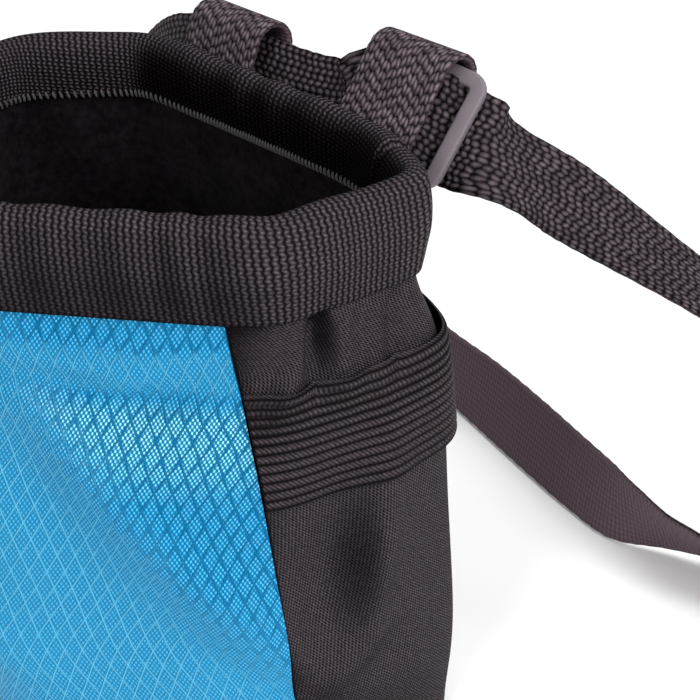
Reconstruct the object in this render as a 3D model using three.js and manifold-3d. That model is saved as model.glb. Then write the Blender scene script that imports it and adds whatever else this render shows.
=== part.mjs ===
// Climbing chalk bag: an open cloth bucket with a padded rim and a fleece lining, an elastic
// brush band on its right side, and a webbing waist belt that runs through two loops behind
// the rim. Millimetres, +Z up. The origin is on the floor under the middle of the bag, +Y
// points to the back, where the belt runs, and +X to the side that carries the brush band.
import * as THREE from 'three';
import { mergeVertices } from 'three/addons/utils/BufferGeometryUtils.js';
import Module from 'manifold-3d';

// The bag
const BAG_HEIGHT = 160; // floor to the crest of the rim
const BAG_WIDTH = 120; // side to side
const BAG_DEPTH = 100; // front to back
const CLEARANCE = 0.3; // between pieces that lie against each other
const SHELL_THICK = 1.4; // front and body cloth
const LINING_THICK = 1.4; // fleece
const BASE_THICK = 2; // bottom cloth with its seam allowance
const BASE_ROUND = 1.2; // rounding of the bottom's lower edge
const LINING_LOW = 8; // how far the tops of cloth and lining lie under the rim's crest
const RIGHT_SEAM_TOP = -29.5; // turn of the right front seam at the rim's crest, degrees from +X
const RIGHT_SEAM_BOTTOM = -14; // and at the floor
const LEFT_SEAM_TOP = -156; // turn of the left front seam at the rim's crest
const LEFT_SEAM_BOTTOM = -168; // and at the floor

// The rim
const TAPE_THICK = 1.2; // folded binding tape
const RIM_OUTER_DROP = 25; // crest to the outer hem
const RIM_INNER_DROP = 16; // crest to the inner hem
const ROLL_OUT = 3.4; // how far the padded roll stands out of the shell
const ROLL_IN = 5.6; // how far it stands into the mouth, from the shell's face

// The brush band
const BAND_WIDTH = 29;
const BAND_THICK = 1.3;
const BAND_BOTTOM = 0.57 * BAG_HEIGHT; // height of its lower edge
const BAND_SLACK = 1.2; // how far it stands off the body between its sewn ends

// The belt and its hardware
const BELT_WIDTH = 25;
const BELT_THICK = 1.6;
const BELT_DROP = 11; // belt's middle under the rim's crest, between the loops
const LOOP_WIDTH = 25;
const LOOP_THICK = 1.5;
const LOOP_GAP = 12; // front strand to back strand, middle to middle
const LOOP_BASE_DROP = 11; // where the strands leave the rim's back, under its crest
const LOOP_TAIL = 12; // how far the sewn tails reach under the rim's hem
const SLIDER_LENGTH = 30.5; // across the belt
const SLIDER_WIDTH = 24; // along the belt
const SLIDER_THICK = 2.5;
const SLIDER_BAR = 4; // width of each bar
const SLIDER_CORNER = 5; // outer corner radius
const SLIDER_ROUND = 0.35; // rounding of its edges
const BUCKLE_LENGTH = 46;
const BUCKLE_WIDTH = 31;
const BUCKLE_THICK = 8;
const BUCKLE_CORNER = 7;
const BUCKLE_ROUND = 1.5; // rounding of its edges
const BUCKLE_POCKET = 13; // depth to which each belt end goes in

// Fineness of the model
const FRONT_STEPS = 22; // steps round the front panel
const BODY_STEPS = 46; // steps round the body panel
const WALL_ROWS = 11; // steps up the walls
const BELT_STEP = 9; // length of a belt segment
const SLIDER_STEP = 1.2; // length of a belt segment inside the slider
const SAME = 1e-5; // corners closer than this are one corner

const degrees = THREE.MathUtils.degToRad;
const lerp = THREE.MathUtils.lerp;
const smooth = (value, low, high) => THREE.MathUtils.smoothstep(value, low, high);

// The cloth is drawn towards seven flats. Each flat faces its turn, in degrees from +X.
const FLATS = { right: -10, rightBack: 66, back: 90, leftBack: 138, left: 190, front: -122, frontRight: -54 };

// Sections: height as a share of the bag's, then how far out each flat lies as a share of the
// bag's half width or depth in that direction, and how crisp the corners between flats are.
const SECTIONS = [
  { up: 0.0, right: 1.03, rightBack: 1.16, back: 0.95, leftBack: 0.95, left: 0.97, front: 1.0, frontRight: 1.06, crisp: 9 },
  { up: 0.2, right: 1.09, rightBack: 1.16, back: 0.92, leftBack: 1.0, left: 1.05, front: 1.09, frontRight: 1.11, crisp: 9 },
  { up: 0.45, right: 1.09, rightBack: 1.1, back: 0.85, leftBack: 1.02, left: 1.1, front: 1.1, frontRight: 1.08, crisp: 9 },
  { up: 0.72, right: 1.03, rightBack: 1.01, back: 0.77, leftBack: 1.0, left: 1.1, front: 1.03, frontRight: 0.98, crisp: 12 },
  { up: 1 - RIM_OUTER_DROP / BAG_HEIGHT, right: 0.935, rightBack: 0.89, back: 0.69, leftBack: 0.99, left: 1.085, front: 0.94, frontRight: 0.85, crisp: 20 },
  { up: 1.0, right: 0.935, rightBack: 0.89, back: 0.69, leftBack: 0.99, left: 1.085, front: 0.94, frontRight: 0.85, crisp: 20 },
];

// Soft folds and dents of the cloth: turn in degrees, height as a share of the bag's, tilt of
// the fold's line from level, then half length, half width and depth as shares of the height.
const FOLDS = [
  { turn: -100, up: 0.67, tilt: 0, long: 0.4, wide: 0.055, depth: -0.014 },
  { turn: -96, up: 0.42, tilt: -52, long: 0.36, wide: 0.07, depth: 0.02 },
  { turn: -78, up: 0.62, tilt: -50, long: 0.16, wide: 0.05, depth: -0.012 },
  { turn: -150, up: 0.4, tilt: 35, long: 0.3, wide: 0.07, depth: 0.014 },
  { turn: -12, up: 0.46, tilt: 80, long: 0.22, wide: 0.045, depth: -0.01 },
  { turn: 50, up: 0.3, tilt: 60, long: 0.2, wide: 0.06, depth: 0.008 },
  { turn: 100, up: 0.4, tilt: 12, long: 0.25, wide: 0.06, depth: -0.01 },
  { turn: 160, up: 0.55, tilt: -30, long: 0.22, wide: 0.06, depth: -0.012 },
];

// The section's shares at a height, joined by smooth curves through the rows of the table that
// never run past a row, so the mouth stays straight under the rim.
function sectionAt(up) {
  const share = THREE.MathUtils.clamp(up, 0, 1);
  let row = 0;
  while (row < SECTIONS.length - 2 && share > SECTIONS[row + 1].up) row += 1;
  const below = SECTIONS[row];
  const above = SECTIONS[row + 1];
  const span = above.up - below.up;
  const part = (share - below.up) / span;
  const slope = (index, key) => {
    if (index === 0 || index === SECTIONS.length - 1) return 0;
    const [last, here, next] = SECTIONS.slice(index - 1, index + 2);
    const into = (here[key] - last[key]) / (here.up - last.up);
    const out = (next[key] - here[key]) / (next.up - here.up);
    return into * out > 0 ? 2 * into * out / (into + out) : 0;
  };
  const blend = (key) => {
    const rise = part * part * (3 - 2 * part);
    const start = part * (1 - part) * (1 - part) * span;
    const end = part * part * (part - 1) * span;
    return lerp(below[key], above[key], rise) + start * slope(row, key) + end * slope(row + 1, key);
  };
  return Object.fromEntries(Object.keys(below).map((key) => [key, blend(key)]));
}

// How far the folds move the cloth out at a turn and height.
function foldRelief(turn, z) {
  let relief = 0;
  for (const fold of FOLDS) {
    const away = THREE.MathUtils.euclideanModulo(turn - degrees(fold.turn) + Math.PI, 2 * Math.PI) - Math.PI;
    const along = away * BAG_WIDTH / 2;
    const rise = z - fold.up * BAG_HEIGHT;
    const tilt = degrees(fold.tilt);
    const lengthwise = (along * Math.cos(tilt) + rise * Math.sin(tilt)) / (fold.long * BAG_HEIGHT);
    const across = (rise * Math.cos(tilt) - along * Math.sin(tilt)) / (fold.wide * BAG_HEIGHT);
    relief += fold.depth * BAG_HEIGHT * Math.exp(-lengthwise * lengthwise - across * across);
  }
  const calmUnderRim = 1 - smooth(z, BAG_HEIGHT - 1.5 * RIM_OUTER_DROP, BAG_HEIGHT - RIM_OUTER_DROP);
  const calmAtBase = smooth(z, 0, 0.15 * BAG_HEIGHT);
  return relief * calmUnderRim * calmAtBase;
}

// Distance from the bag's axis to the shell's face. The flats are joined as a soft polygon:
// the higher the power, the crisper its corners.
function shellRadius(turn, z) {
  const section = sectionAt(z / BAG_HEIGHT);
  let sum = 0;
  for (const [flat, facing] of Object.entries(FLATS)) {
    const face = degrees(facing);
    const half = Math.hypot(BAG_WIDTH / 2 * Math.cos(face), BAG_DEPTH / 2 * Math.sin(face));
    const reach = Math.max(Math.cos(turn - face), 0) / (section[flat] * half);
    sum += reach ** section.crisp;
  }
  return sum ** (-1 / section.crisp) + foldRelief(turn, z);
}

// A point that lies `out` millimetres outside the shell's face, level with height z.
function wallPoint(turn, z, out) {
  const small = 0.004;
  const radius = shellRadius(turn, z);
  const change = (shellRadius(turn + small, z) - shellRadius(turn - small, z)) / (2 * small);
  const ahead = new THREE.Vector2(
    change * Math.cos(turn) - radius * Math.sin(turn),
    change * Math.sin(turn) + radius * Math.cos(turn),
  ).normalize();
  return new THREE.Vector3(
    radius * Math.cos(turn) + out * ahead.y,
    radius * Math.sin(turn) - out * ahead.x,
    z,
  );
}

// Turn of a station round the bag. Stations 0 to FRONT_STEPS cross the front from the left seam
// to the right one, and the rest go on round the right side, the back and the left side.
function stationTurn(station, z) {
  const up = z / BAG_HEIGHT;
  const leftSeam = degrees(lerp(LEFT_SEAM_BOTTOM, LEFT_SEAM_TOP, up));
  const rightSeam = degrees(lerp(RIGHT_SEAM_BOTTOM, RIGHT_SEAM_TOP, up));
  if (station <= FRONT_STEPS) return lerp(leftSeam, rightSeam, station / FRONT_STEPS);
  return lerp(rightSeam, leftSeam + 2 * Math.PI, (station - FRONT_STEPS) / BODY_STEPS);
}

// A closed skin over a row of section rings that all have the same even number of corners.
// The second half of a ring runs back beside the first, so its faces are split the other way
// round, and walls that lie face to face keep the same creases. Open rows end in caps, whose
// rungs join each corner to the one across the ring.
function loft(rings, closed) {
  const corners = [];
  const triangle = (a, b, c) => {
    const flat = a.distanceTo(b) < SAME || b.distanceTo(c) < SAME || c.distanceTo(a) < SAME;
    if (!flat) corners.push(...a.toArray(), ...b.toArray(), ...c.toArray());
  };
  const quad = (a, b, c, d) => {
    triangle(a, b, c);
    triangle(a, c, d);
  };
  const size = rings[0].length;
  const lastStep = closed ? rings.length : rings.length - 1;
  for (let i = 0; i < lastStep; i += 1) {
    const here = rings[i];
    const next = rings[(i + 1) % rings.length];
    for (let k = 0; k < size; k += 1) {
      const up = (k + 1) % size;
      if (k < size / 2) quad(here[k], next[k], next[up], here[up]);
      else quad(next[k], next[up], here[up], here[k]);
    }
  }
  if (!closed) {
    const first = rings[0];
    const last = rings[rings.length - 1];
    for (let k = 0; k < size / 2 - 1; k += 1) {
      quad(first[k], first[k + 1], first[size - 2 - k], first[size - 1 - k]);
      quad(last[size - 1 - k], last[size - 2 - k], last[k + 1], last[k]);
    }
  }
  return facingOut(corners);
}

// A geometry of loose triangles, all turned over where they enclose a negative volume.
function facingOut(corners) {
  let volume = 0;
  const [a, b, c] = [new THREE.Vector3(), new THREE.Vector3(), new THREE.Vector3()];
  for (let i = 0; i < corners.length; i += 9) {
    a.fromArray(corners, i);
    b.fromArray(corners, i + 3);
    c.fromArray(corners, i + 6);
    volume += a.dot(b.cross(c));
  }
  const right = volume > 0 ? corners : corners.flatMap((_, i) => {
    if (i % 9 !== 0) return [];
    return [...corners.slice(i, i + 3), ...corners.slice(i + 6, i + 9), ...corners.slice(i + 3, i + 6)];
  });
  const geometry = new THREE.BufferGeometry();
  geometry.setAttribute('position', new THREE.Float32BufferAttribute(right, 3));
  return geometry;
}

const range = (count) => Array.from({ length: count }, (_, i) => i);

const SHELL_TOP = BAG_HEIGHT - LINING_LOW;
const SHELL_BOTTOM = BASE_THICK + CLEARANCE;
const LINING_OUT = -SHELL_THICK - CLEARANCE;

// Heights of the rows of the shell and the lining, closer together under the rim, with one row
// level with the rim's outer hem. From there up the walls are straight.
const WALL_HEIGHTS = range(WALL_ROWS).map((k) => {
  const part = k / (WALL_ROWS - 1);
  return lerp(SHELL_BOTTOM, BAG_HEIGHT - RIM_OUTER_DROP, part * (1.2 - 0.2 * part));
}).concat(SHELL_TOP);

// One cloth panel of the shell between two stations, short of both seams by half a clearance.
function shellPanel(from, to) {
  const rings = [];
  for (let station = from; station <= to; station += 1) {
    const inset = station === from ? CLEARANCE / 2 : station === to ? -CLEARANCE / 2 : 0;
    const side = (out, heights) => heights.map((z) => {
      const turn = stationTurn(station, z);
      return wallPoint(turn + inset / shellRadius(turn, z), z, out);
    });
    rings.push([...side(0, WALL_HEIGHTS), ...side(-SHELL_THICK, [...WALL_HEIGHTS].reverse())]);
  }
  return loft(rings, false);
}

// The fleece cup inside the shell: out along its floor, up, over its top edge and back down.
function liningCup() {
  const floor = SHELL_BOTTOM;
  const rings = range(FRONT_STEPS + BODY_STEPS).map((station) => {
    const point = (z, out) => wallPoint(stationTurn(station, z), z, out);
    const inside = LINING_OUT - LINING_THICK;
    const innerHeights = WALL_HEIGHTS.filter((_, row) => row % 2 === 0 || row > WALL_ROWS - 3);
    const inner = innerHeights.map((z) => point(Math.max(z, floor + LINING_THICK), inside));
    const ring = [new THREE.Vector3(0, 0, floor)];
    ring.push(...WALL_HEIGHTS.map((z) => point(z, LINING_OUT)));
    ring.push(...inner.reverse());
    ring.push(new THREE.Vector3(0, 0, floor + LINING_THICK));
    return ring;
  });
  return loft(rings, true);
}

// The flat bottom with a rounded lower edge.
function basePanel() {
  const rings = range(FRONT_STEPS + BODY_STEPS).map((station) => {
    const edge = (z, out) => {
      const point = wallPoint(stationTurn(station, SHELL_BOTTOM), SHELL_BOTTOM, out);
      return point.setZ(z);
    };
    return [
      new THREE.Vector3(0, 0, 0),
      edge(0, -BASE_ROUND),
      edge(BASE_ROUND, 0),
      edge(BASE_THICK, 0),
      edge(BASE_THICK, -SHELL_THICK),
      new THREE.Vector3(0, 0, BASE_THICK),
    ];
  });
  return loft(rings, true);
}

// Profile of the rim: how far out of the shell's face, and how far under the crest.
function rimProfile() {
  const outerLeg = CLEARANCE + TAPE_THICK;
  const innerFace = LINING_OUT - LINING_THICK - CLEARANCE;
  const innerLeg = innerFace - TAPE_THICK;
  const middle = (ROLL_OUT - ROLL_IN) / 2;
  const channelTop = LINING_LOW - CLEARANCE;
  return [
    [CLEARANCE, RIM_OUTER_DROP],
    [outerLeg, RIM_OUTER_DROP],
    [lerp(outerLeg, ROLL_OUT, 0.45), 0.8 * RIM_OUTER_DROP],
    [ROLL_OUT, 0.54 * RIM_OUTER_DROP],
    [lerp(middle, ROLL_OUT, 0.97), 0.3 * RIM_OUTER_DROP],
    [lerp(middle, ROLL_OUT, 0.75), 0.1 * RIM_OUTER_DROP],
    [lerp(middle, ROLL_OUT, 0.35), 0.02 * RIM_OUTER_DROP],
    [middle, 0],
    [lerp(middle, -ROLL_IN, 0.45), 0.03 * RIM_INNER_DROP],
    [lerp(middle, -ROLL_IN, 0.85), 0.18 * RIM_INNER_DROP],
    [-ROLL_IN, 0.45 * RIM_INNER_DROP],
    [lerp(innerLeg, -ROLL_IN, 0.6), 0.8 * RIM_INNER_DROP],
    [innerLeg, RIM_INNER_DROP],
    [innerFace, RIM_INNER_DROP],
    [innerFace, channelTop],
    [CLEARANCE, channelTop],
  ];
}

function rimBinding() {
  const profile = rimProfile();
  const rings = range(FRONT_STEPS + BODY_STEPS).map((station) => profile.map(([out, drop]) => {
    const z = BAG_HEIGHT - drop;
    return wallPoint(stationTurn(station, z), z, out);
  }));
  return loft(rings, true);
}

// The elastic band: sewn flat at both ends, slack between them.
const BAND_STATIONS = Math.round(0.44 * BODY_STEPS);
const BAND_ROWS = 4;

function brushBand() {
  const heights = range(BAND_ROWS + 1).map((k) => BAND_BOTTOM + BAND_WIDTH * k / BAND_ROWS);
  const rings = range(BAND_STATIONS + 1).map((step) => {
    const part = step / BAND_STATIONS;
    const slack = BAND_SLACK * smooth(part, 0, 0.25) * smooth(1 - part, 0, 0.2);
    const turned = (z) => stationTurn(FRONT_STEPS + step, z) + 1.2 * CLEARANCE / shellRadius(0, z);
    const inner = CLEARANCE + slack;
    return [
      ...heights.map((z) => wallPoint(turned(z), z, inner + BAND_THICK)),
      ...[...heights].reverse().map((z) => wallPoint(turned(z), z, inner)),
    ];
  });
  return loft(rings, false);
}

// A flat band of webbing. Each station has the middle, the direction across the band and the
// direction through it, all of unit length but the middle.
function webbing(stations, width, thick) {
  return loft(stations.map(({ middle, across, through }) => {
    const corner = (w, t) => middle.clone().addScaledVector(across, w * width / 2).addScaledVector(through, t * thick / 2);
    return [corner(-1, -1), corner(1, -1), corner(1, 1), corner(-1, 1)];
  }), false);
}

// How far back the shell's face lies at a sideways place and a height.
function backFace(x, z) {
  let [low, high] = [degrees(15), degrees(165)];
  for (let i = 0; i < 30; i += 1) {
    const turn = (low + high) / 2;
    if (wallPoint(turn, z, 0).x > x) low = turn;
    else high = turn;
  }
  return wallPoint((low + high) / 2, z, 0).y;
}

// The belt loops: sideways place as a share of the bag's half width, how far each leans back
// in degrees, and the length of its straight front strand as a share of the belt's width.
const LOOPS = [
  { name: 'belt_loop_left', side: -0.433, lean: 22, strand: 0.52 },
  { name: 'belt_loop_right', side: 0.46, lean: 38, strand: 0.92 },
];

// Where a loop stands: the foot of its front strand, the way up the strand and the way from the
// front strand to the back one.
function loopFrame({ side, lean }) {
  const x = side * BAG_WIDTH / 2;
  const edges = [-1, -0.5, 0, 0.5, 1].map((share) => x + share * LOOP_WIDTH / 2);
  const face = (z) => Math.max(...edges.map((place) => backFace(place, z)));
  const near = 2 * CLEARANCE + LOOP_THICK / 2;
  const foot = new THREE.Vector3(x, face(BAG_HEIGHT) + ROLL_OUT + near, BAG_HEIGHT - LOOP_BASE_DROP);
  const up = new THREE.Vector3(0, Math.sin(degrees(lean)), Math.cos(degrees(lean)));
  const back = new THREE.Vector3(0, Math.cos(degrees(lean)), -Math.sin(degrees(lean)));
  const at = (rise, depth) => foot.clone().addScaledVector(up, rise).addScaledVector(back, depth);
  return { x, face, near, at, up, back };
}

// One loop: from its sewn tail up past the rim, over the belt and down to the tail again.
function beltLoop(loop) {
  const { x, face, near, at } = loopFrame(loop);
  const hem = BAG_HEIGHT - RIM_OUTER_DROP;
  const layer = LOOP_THICK + CLEARANCE;
  const strand = loop.strand * BELT_WIDTH;
  const onBody = (drop, out) => new THREE.Vector3(x, face(hem - drop * LOOP_TAIL) + out, hem - drop * LOOP_TAIL);
  const arch = [0.2, 0.4, 0.6, 0.8].map((share) => at(
    strand + LOOP_GAP / 2 * Math.sin(share * Math.PI),
    LOOP_GAP / 2 * (1 - Math.cos(share * Math.PI)),
  ));
  const rimFoot = new THREE.Vector3(x, face(BAG_HEIGHT) + (TAPE_THICK + ROLL_OUT) / 2 + near, hem + 0.12 * RIM_OUTER_DROP);
  const backFoot = at(0, LOOP_GAP);
  const path = [
    onBody(1, near),
    onBody(0.6, near),
    onBody(0.25, near),
    rimFoot,
    at(0, 0),
    at(strand / 2, 0),
    at(strand, 0),
    ...arch,
    at(strand, LOOP_GAP),
    at(strand / 2, LOOP_GAP),
    backFoot,
    onBody(0, near + layer).lerp(backFoot.clone().setZ(hem), 0.8),
    onBody(0.6, near + layer),
    onBody(1, near + layer),
  ];
  const curve = new THREE.CatmullRomCurve3(path);
  const across = new THREE.Vector3(1, 0, 0);
  const count = 2 * path.length;
  return webbing(range(count + 1).map((i) => {
    const through = curve.getTangent(i / count).cross(across);
    return { middle: curve.getPoint(i / count), across, through };
  }), LOOP_WIDTH, LOOP_THICK);
}

// The slider stands half inside the right loop: its middle sideways of the loop's as a share
// of the loop's width, up the loop's strand as a share of the belt's width, and behind the front
// strand as a share of the loop's gap. Then its swing back, its dip and its lean in degrees.
const SLIDER = { side: 0.265, up: 0.468, behind: 0.515, swing: 8, dip: 8, lean: 41 };

// The slider's frame: its middle, the way the belt runs through it, the way across the belt and
// the way through to its back.
function sliderFrame() {
  const [swing, dip, lean] = [SLIDER.swing, SLIDER.dip, SLIDER.lean].map(degrees);
  const middle = loopFrame(LOOPS[1]).at(SLIDER.up * BELT_WIDTH, SLIDER.behind * LOOP_GAP);
  middle.x += SLIDER.side * LOOP_WIDTH;
  const along = new THREE.Vector3(
    Math.cos(dip) * Math.cos(swing),
    Math.cos(dip) * Math.sin(swing),
    -Math.sin(dip),
  );
  const up = new THREE.Vector3(0, 0, 1).addScaledVector(along, -along.z).normalize();
  const back = up.clone().cross(along);
  const across = up.clone().multiplyScalar(Math.cos(lean)).addScaledVector(back, Math.sin(lean));
  return { middle, along, across, through: across.clone().cross(along) };
}

// The belt's route, from the buckle along the floor behind the bag, round on the right, up to
// the slider, through both loops and round on the left to the buckle again: sideways and back
// as shares of the bag's half width and depth, rise as a share of the way from the floor to the
// belt's height behind the rim, and how far the band leans over in degrees.
const ROUTE_RIGHT = [
  { side: -1, back: 3.05, rise: 0, lean: 0 },
  { side: -0.52, back: 2.88, rise: 0, lean: -6 },
  { side: -0.2, back: 2.785, rise: 0, lean: -12 },
  { side: 0.21, back: 2.64, rise: 0, lean: -13 },
  { side: 0.55, back: 2.515, rise: 0, lean: -10 },
  { side: 0.83, back: 2.427, rise: 0, lean: -4 },
  { side: 1.03, back: 2.409, rise: 0.008, lean: 16 },
  { side: 1.2, back: 2.418, rise: 0.015, lean: 32 },
  { side: 1.38, back: 2.451, rise: 0.022, lean: 42 },
  { side: 1.6, back: 2.517, rise: 0.034, lean: 60 },
  { side: 1.97, back: 2.7, rise: 0.03, lean: 52 },
  { side: 2.4, back: 3, rise: 0.015, lean: 24 },
  { side: 2.9, back: 3.28, rise: 0, lean: 0 },
  { side: 3.3, back: 3.25, rise: 0, lean: 0 },
  { side: 3.45, back: 2.9, rise: 0.04, lean: 8 },
  { side: 3.15, back: 2.5, rise: 0.2, lean: 24 },
  { side: 2.6, back: 2.24, rise: 0.45, lean: 50 },
  { side: 2.05, back: 2, rise: 0.668, lean: 71 },
  { side: 1.57, back: 1.71, rise: 0.792, lean: 90 },
  { side: 1.03, back: 1.36, rise: 0.93, lean: 65 },
];
const ROUTE_LEFT = [
  { side: 0.2, back: 0.98, rise: 1.015, lean: 34 },
  { side: 0.0, back: 0.955, rise: 1.0, lean: 30 },
  { side: -0.433, back: 0.945, rise: 0.995, lean: 24 },
  { side: -0.83, back: 0.99, rise: 0.97, lean: 16 },
  { side: -1.45, back: 1.3, rise: 0.77, lean: 6 },
  { side: -2.1, back: 1.75, rise: 0.45, lean: 0 },
  { side: -2.65, back: 2.3, rise: 0.16, lean: 0 },
  { side: -2.8, back: 2.8, rise: 0.03, lean: 0 },
  { side: -2.5, back: 3.15, rise: 0.01, lean: 0 },
];
// The buckle stands on its long edge on the floor, in line with the belt.
const BUCKLE = { side: -1.72, back: 3.21, swing: -6 };

// A point of the route. Where it doesn't rise, the band's lower edge rests on the floor.
function routePoint({ side, back, rise, lean }) {
  const tilt = degrees(lean);
  const floor = BELT_WIDTH / 2 * Math.abs(Math.cos(tilt)) + BELT_THICK / 2 * Math.abs(Math.sin(tilt));
  return new THREE.Vector3(
    side * BAG_WIDTH / 2,
    back * BAG_DEPTH / 2,
    lerp(floor + CLEARANCE, BAG_HEIGHT - BELT_DROP, rise),
  );
}

function buckleFrame() {
  const swing = degrees(BUCKLE.swing);
  const along = new THREE.Vector3(Math.cos(swing), Math.sin(swing), 0);
  const across = new THREE.Vector3(0, 0, 1);
  const middle = routePoint({ ...BUCKLE, rise: 0, lean: 0 }).setZ(BUCKLE_WIDTH / 2);
  return { middle, along, across, through: along.clone().cross(across) };
}

// Stations of the belt. The lean turns the band about its own line. Within the slider the band
// steps over the middle bar and stays behind the two outer ones. No edge goes under the floor.
function beltStations() {
  const slider = sliderFrame();
  const buckle = buckleFrame();
  const step = (SLIDER_THICK + BELT_THICK) / 2 + CLEARANCE;
  const run = SLIDER_WIDTH / 2 + 2 * CLEARANCE;
  const behind = slider.middle.clone().addScaledVector(slider.through, step);
  const hold = (frame, length) => frame.middle.clone().addScaledVector(frame.along, length);
  const free = (row) => ({ point: routePoint(row), lean: row.lean });
  const held = { ...slider, middle: behind };
  const end = BUCKLE_LENGTH / 2;
  const knots = [
    { point: hold(buckle, end - BUCKLE_POCKET), lean: 0 },
    { point: hold(buckle, end), lean: 0 },
    ...ROUTE_RIGHT.map(free),
    { point: hold(held, run + BELT_WIDTH / 5), lean: lerp(SLIDER.lean, ROUTE_RIGHT.at(-1).lean, 0.5) },
    { point: hold(held, run), lean: SLIDER.lean },
    { point: hold(held, 0), lean: SLIDER.lean, slider: true },
    { point: hold(held, -run), lean: SLIDER.lean },
    { point: hold(held, -run - BELT_WIDTH / 5), lean: SLIDER.lean },
    ...ROUTE_LEFT.map(free),
    { point: hold(buckle, -end), lean: 0 },
    { point: hold(buckle, BUCKLE_POCKET - end), lean: 0 },
  ];
  const line = new THREE.CatmullRomCurve3(knots.map(({ point }) => point));
  const leans = new THREE.CatmullRomCurve3(
    knots.map(({ lean }, i) => new THREE.Vector3(i, degrees(lean), 0)), false, 'catmullrom', 0.5,
  );
  const last = knots.length - 1;
  const sliderKnot = knots.findIndex((knot) => knot.slider);
  const stations = [];
  for (let knot = 0; knot < last; knot += 1) {
    const inSlider = knot === sliderKnot || knot === sliderKnot - 1;
    const length = knots[knot].point.distanceTo(knots[knot + 1].point);
    const pieces = Math.max(2, Math.round(length / (inSlider ? SLIDER_STEP : BELT_STEP)));
    for (let i = 0; i < pieces; i += 1) stations.push((knot + i / pieces) / last);
  }
  stations.push(1);
  return stations.map((t) => {
    const middle = line.getPoint(t);
    const tangent = line.getTangent(t);
    const lean = leans.getPoint(t).y;
    const up = new THREE.Vector3(0, 0, 1).addScaledVector(tangent, -tangent.z).normalize();
    const side = tangent.clone().cross(up);
    const across = up.clone().multiplyScalar(Math.cos(lean)).addScaledVector(side, Math.sin(lean));
    const through = tangent.clone().cross(across);
    const fromMiddle = Math.abs(middle.clone().sub(behind).dot(slider.along));
    const nearby = middle.distanceTo(behind) < SLIDER_WIDTH;
    const window = SLIDER_WIDTH / 2 - SLIDER_BAR;
    const over = nearby ? 1 - smooth(fromMiddle, SLIDER_BAR / 2, window) : 0;
    middle.addScaledVector(slider.through, -2 * step * over);
    const reach = Math.abs(across.z) * BELT_WIDTH / 2 + Math.abs(through.z) * BELT_THICK / 2;
    middle.z = Math.max(middle.z, reach + CLEARANCE);
    return { middle, across, through };
  });
}

// A rounded rectangle, its long side along the first axis.
function roundedRectangle(length, width, corner) {
  const [x, y] = [length / 2 - corner, width / 2 - corner];
  const shape = new THREE.Shape();
  shape.absarc(x, y, corner, 0, Math.PI / 2);
  shape.absarc(-x, y, corner, Math.PI / 2, Math.PI);
  shape.absarc(-x, -y, corner, Math.PI, 1.5 * Math.PI);
  shape.absarc(x, -y, corner, 1.5 * Math.PI, 2 * Math.PI);
  return shape;
}

// Puts a flat extrusion, centred through its thickness, into a frame.
function inFrame(shape, thick, bevel, { middle, along, across, through }) {
  const geometry = new THREE.ExtrudeGeometry(shape, {
    depth: thick - 2 * bevel,
    bevelEnabled: bevel > 0,
    bevelThickness: bevel,
    bevelSize: bevel,
    bevelOffset: -bevel,
    bevelSegments: 1,
    curveSegments: 4,
  });
  geometry.translate(0, 0, bevel - thick / 2);
  const turned = new THREE.Matrix4().makeBasis(along, across, through).setPosition(middle);
  return geometry.applyMatrix4(turned);
}

// The three-bar slider: a rounded frame with two windows.
function sliderBars() {
  const shape = roundedRectangle(SLIDER_WIDTH, SLIDER_LENGTH, SLIDER_CORNER);
  const window = (SLIDER_WIDTH - 3 * SLIDER_BAR) / 2;
  for (const side of [-1, 1]) {
    const hole = roundedRectangle(window, BELT_WIDTH + 3 * CLEARANCE, SLIDER_CORNER / 5);
    const shift = side * (window + SLIDER_BAR) / 2;
    const points = hole.getPoints(2).map((point) => new THREE.Vector2(point.x + shift, point.y));
    shape.holes.push(new THREE.Path(points.slice(0, -1).reverse()));
  }
  const frame = sliderFrame();
  const through = frame.along.clone().cross(frame.across);
  return inFrame(shape, SLIDER_THICK, SLIDER_ROUND, { ...frame, through });
}

const wasm = await Module();
wasm.setup();

function toManifold(geometry) {
  const bare = new THREE.BufferGeometry();
  bare.setAttribute('position', geometry.getAttribute('position'));
  if (geometry.index) bare.setIndex(geometry.index);
  const merged = mergeVertices(bare, 1e-4);
  return new wasm.Manifold(new wasm.Mesh({
    numProp: 3,
    vertProperties: Float32Array.from(merged.getAttribute('position').array),
    triVerts: Uint32Array.from(merged.index.array),
  }));
}

function fromManifold(solid) {
  const mesh = solid.getMesh();
  const geometry = new THREE.BufferGeometry();
  geometry.setAttribute('position', new THREE.BufferAttribute(mesh.vertProperties, 3));
  geometry.setIndex(new THREE.BufferAttribute(mesh.triVerts, 1));
  return geometry;
}

// The buckle: one rounded block with a pocket for the belt at each end.
function buckleBlock() {
  const frame = buckleFrame();
  const through = frame.along.clone().cross(frame.across);
  const outline = roundedRectangle(BUCKLE_LENGTH, BUCKLE_WIDTH, BUCKLE_CORNER);
  let block = toManifold(inFrame(outline, BUCKLE_THICK, BUCKLE_ROUND, { ...frame, through }));
  const depth = BUCKLE_POCKET + CLEARANCE;
  for (const side of [-1, 1]) {
    const pocket = new THREE.BoxGeometry(2 * depth, BELT_WIDTH + 2 * CLEARANCE, BELT_THICK + 4 * CLEARANCE);
    const middle = frame.middle.clone().addScaledVector(frame.along, side * BUCKLE_LENGTH / 2);
    pocket.applyMatrix4(new THREE.Matrix4().makeBasis(frame.along, frame.across, through).setPosition(middle));
    block = block.subtract(toManifold(pocket));
  }
  return fromManifold(block);
}

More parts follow.
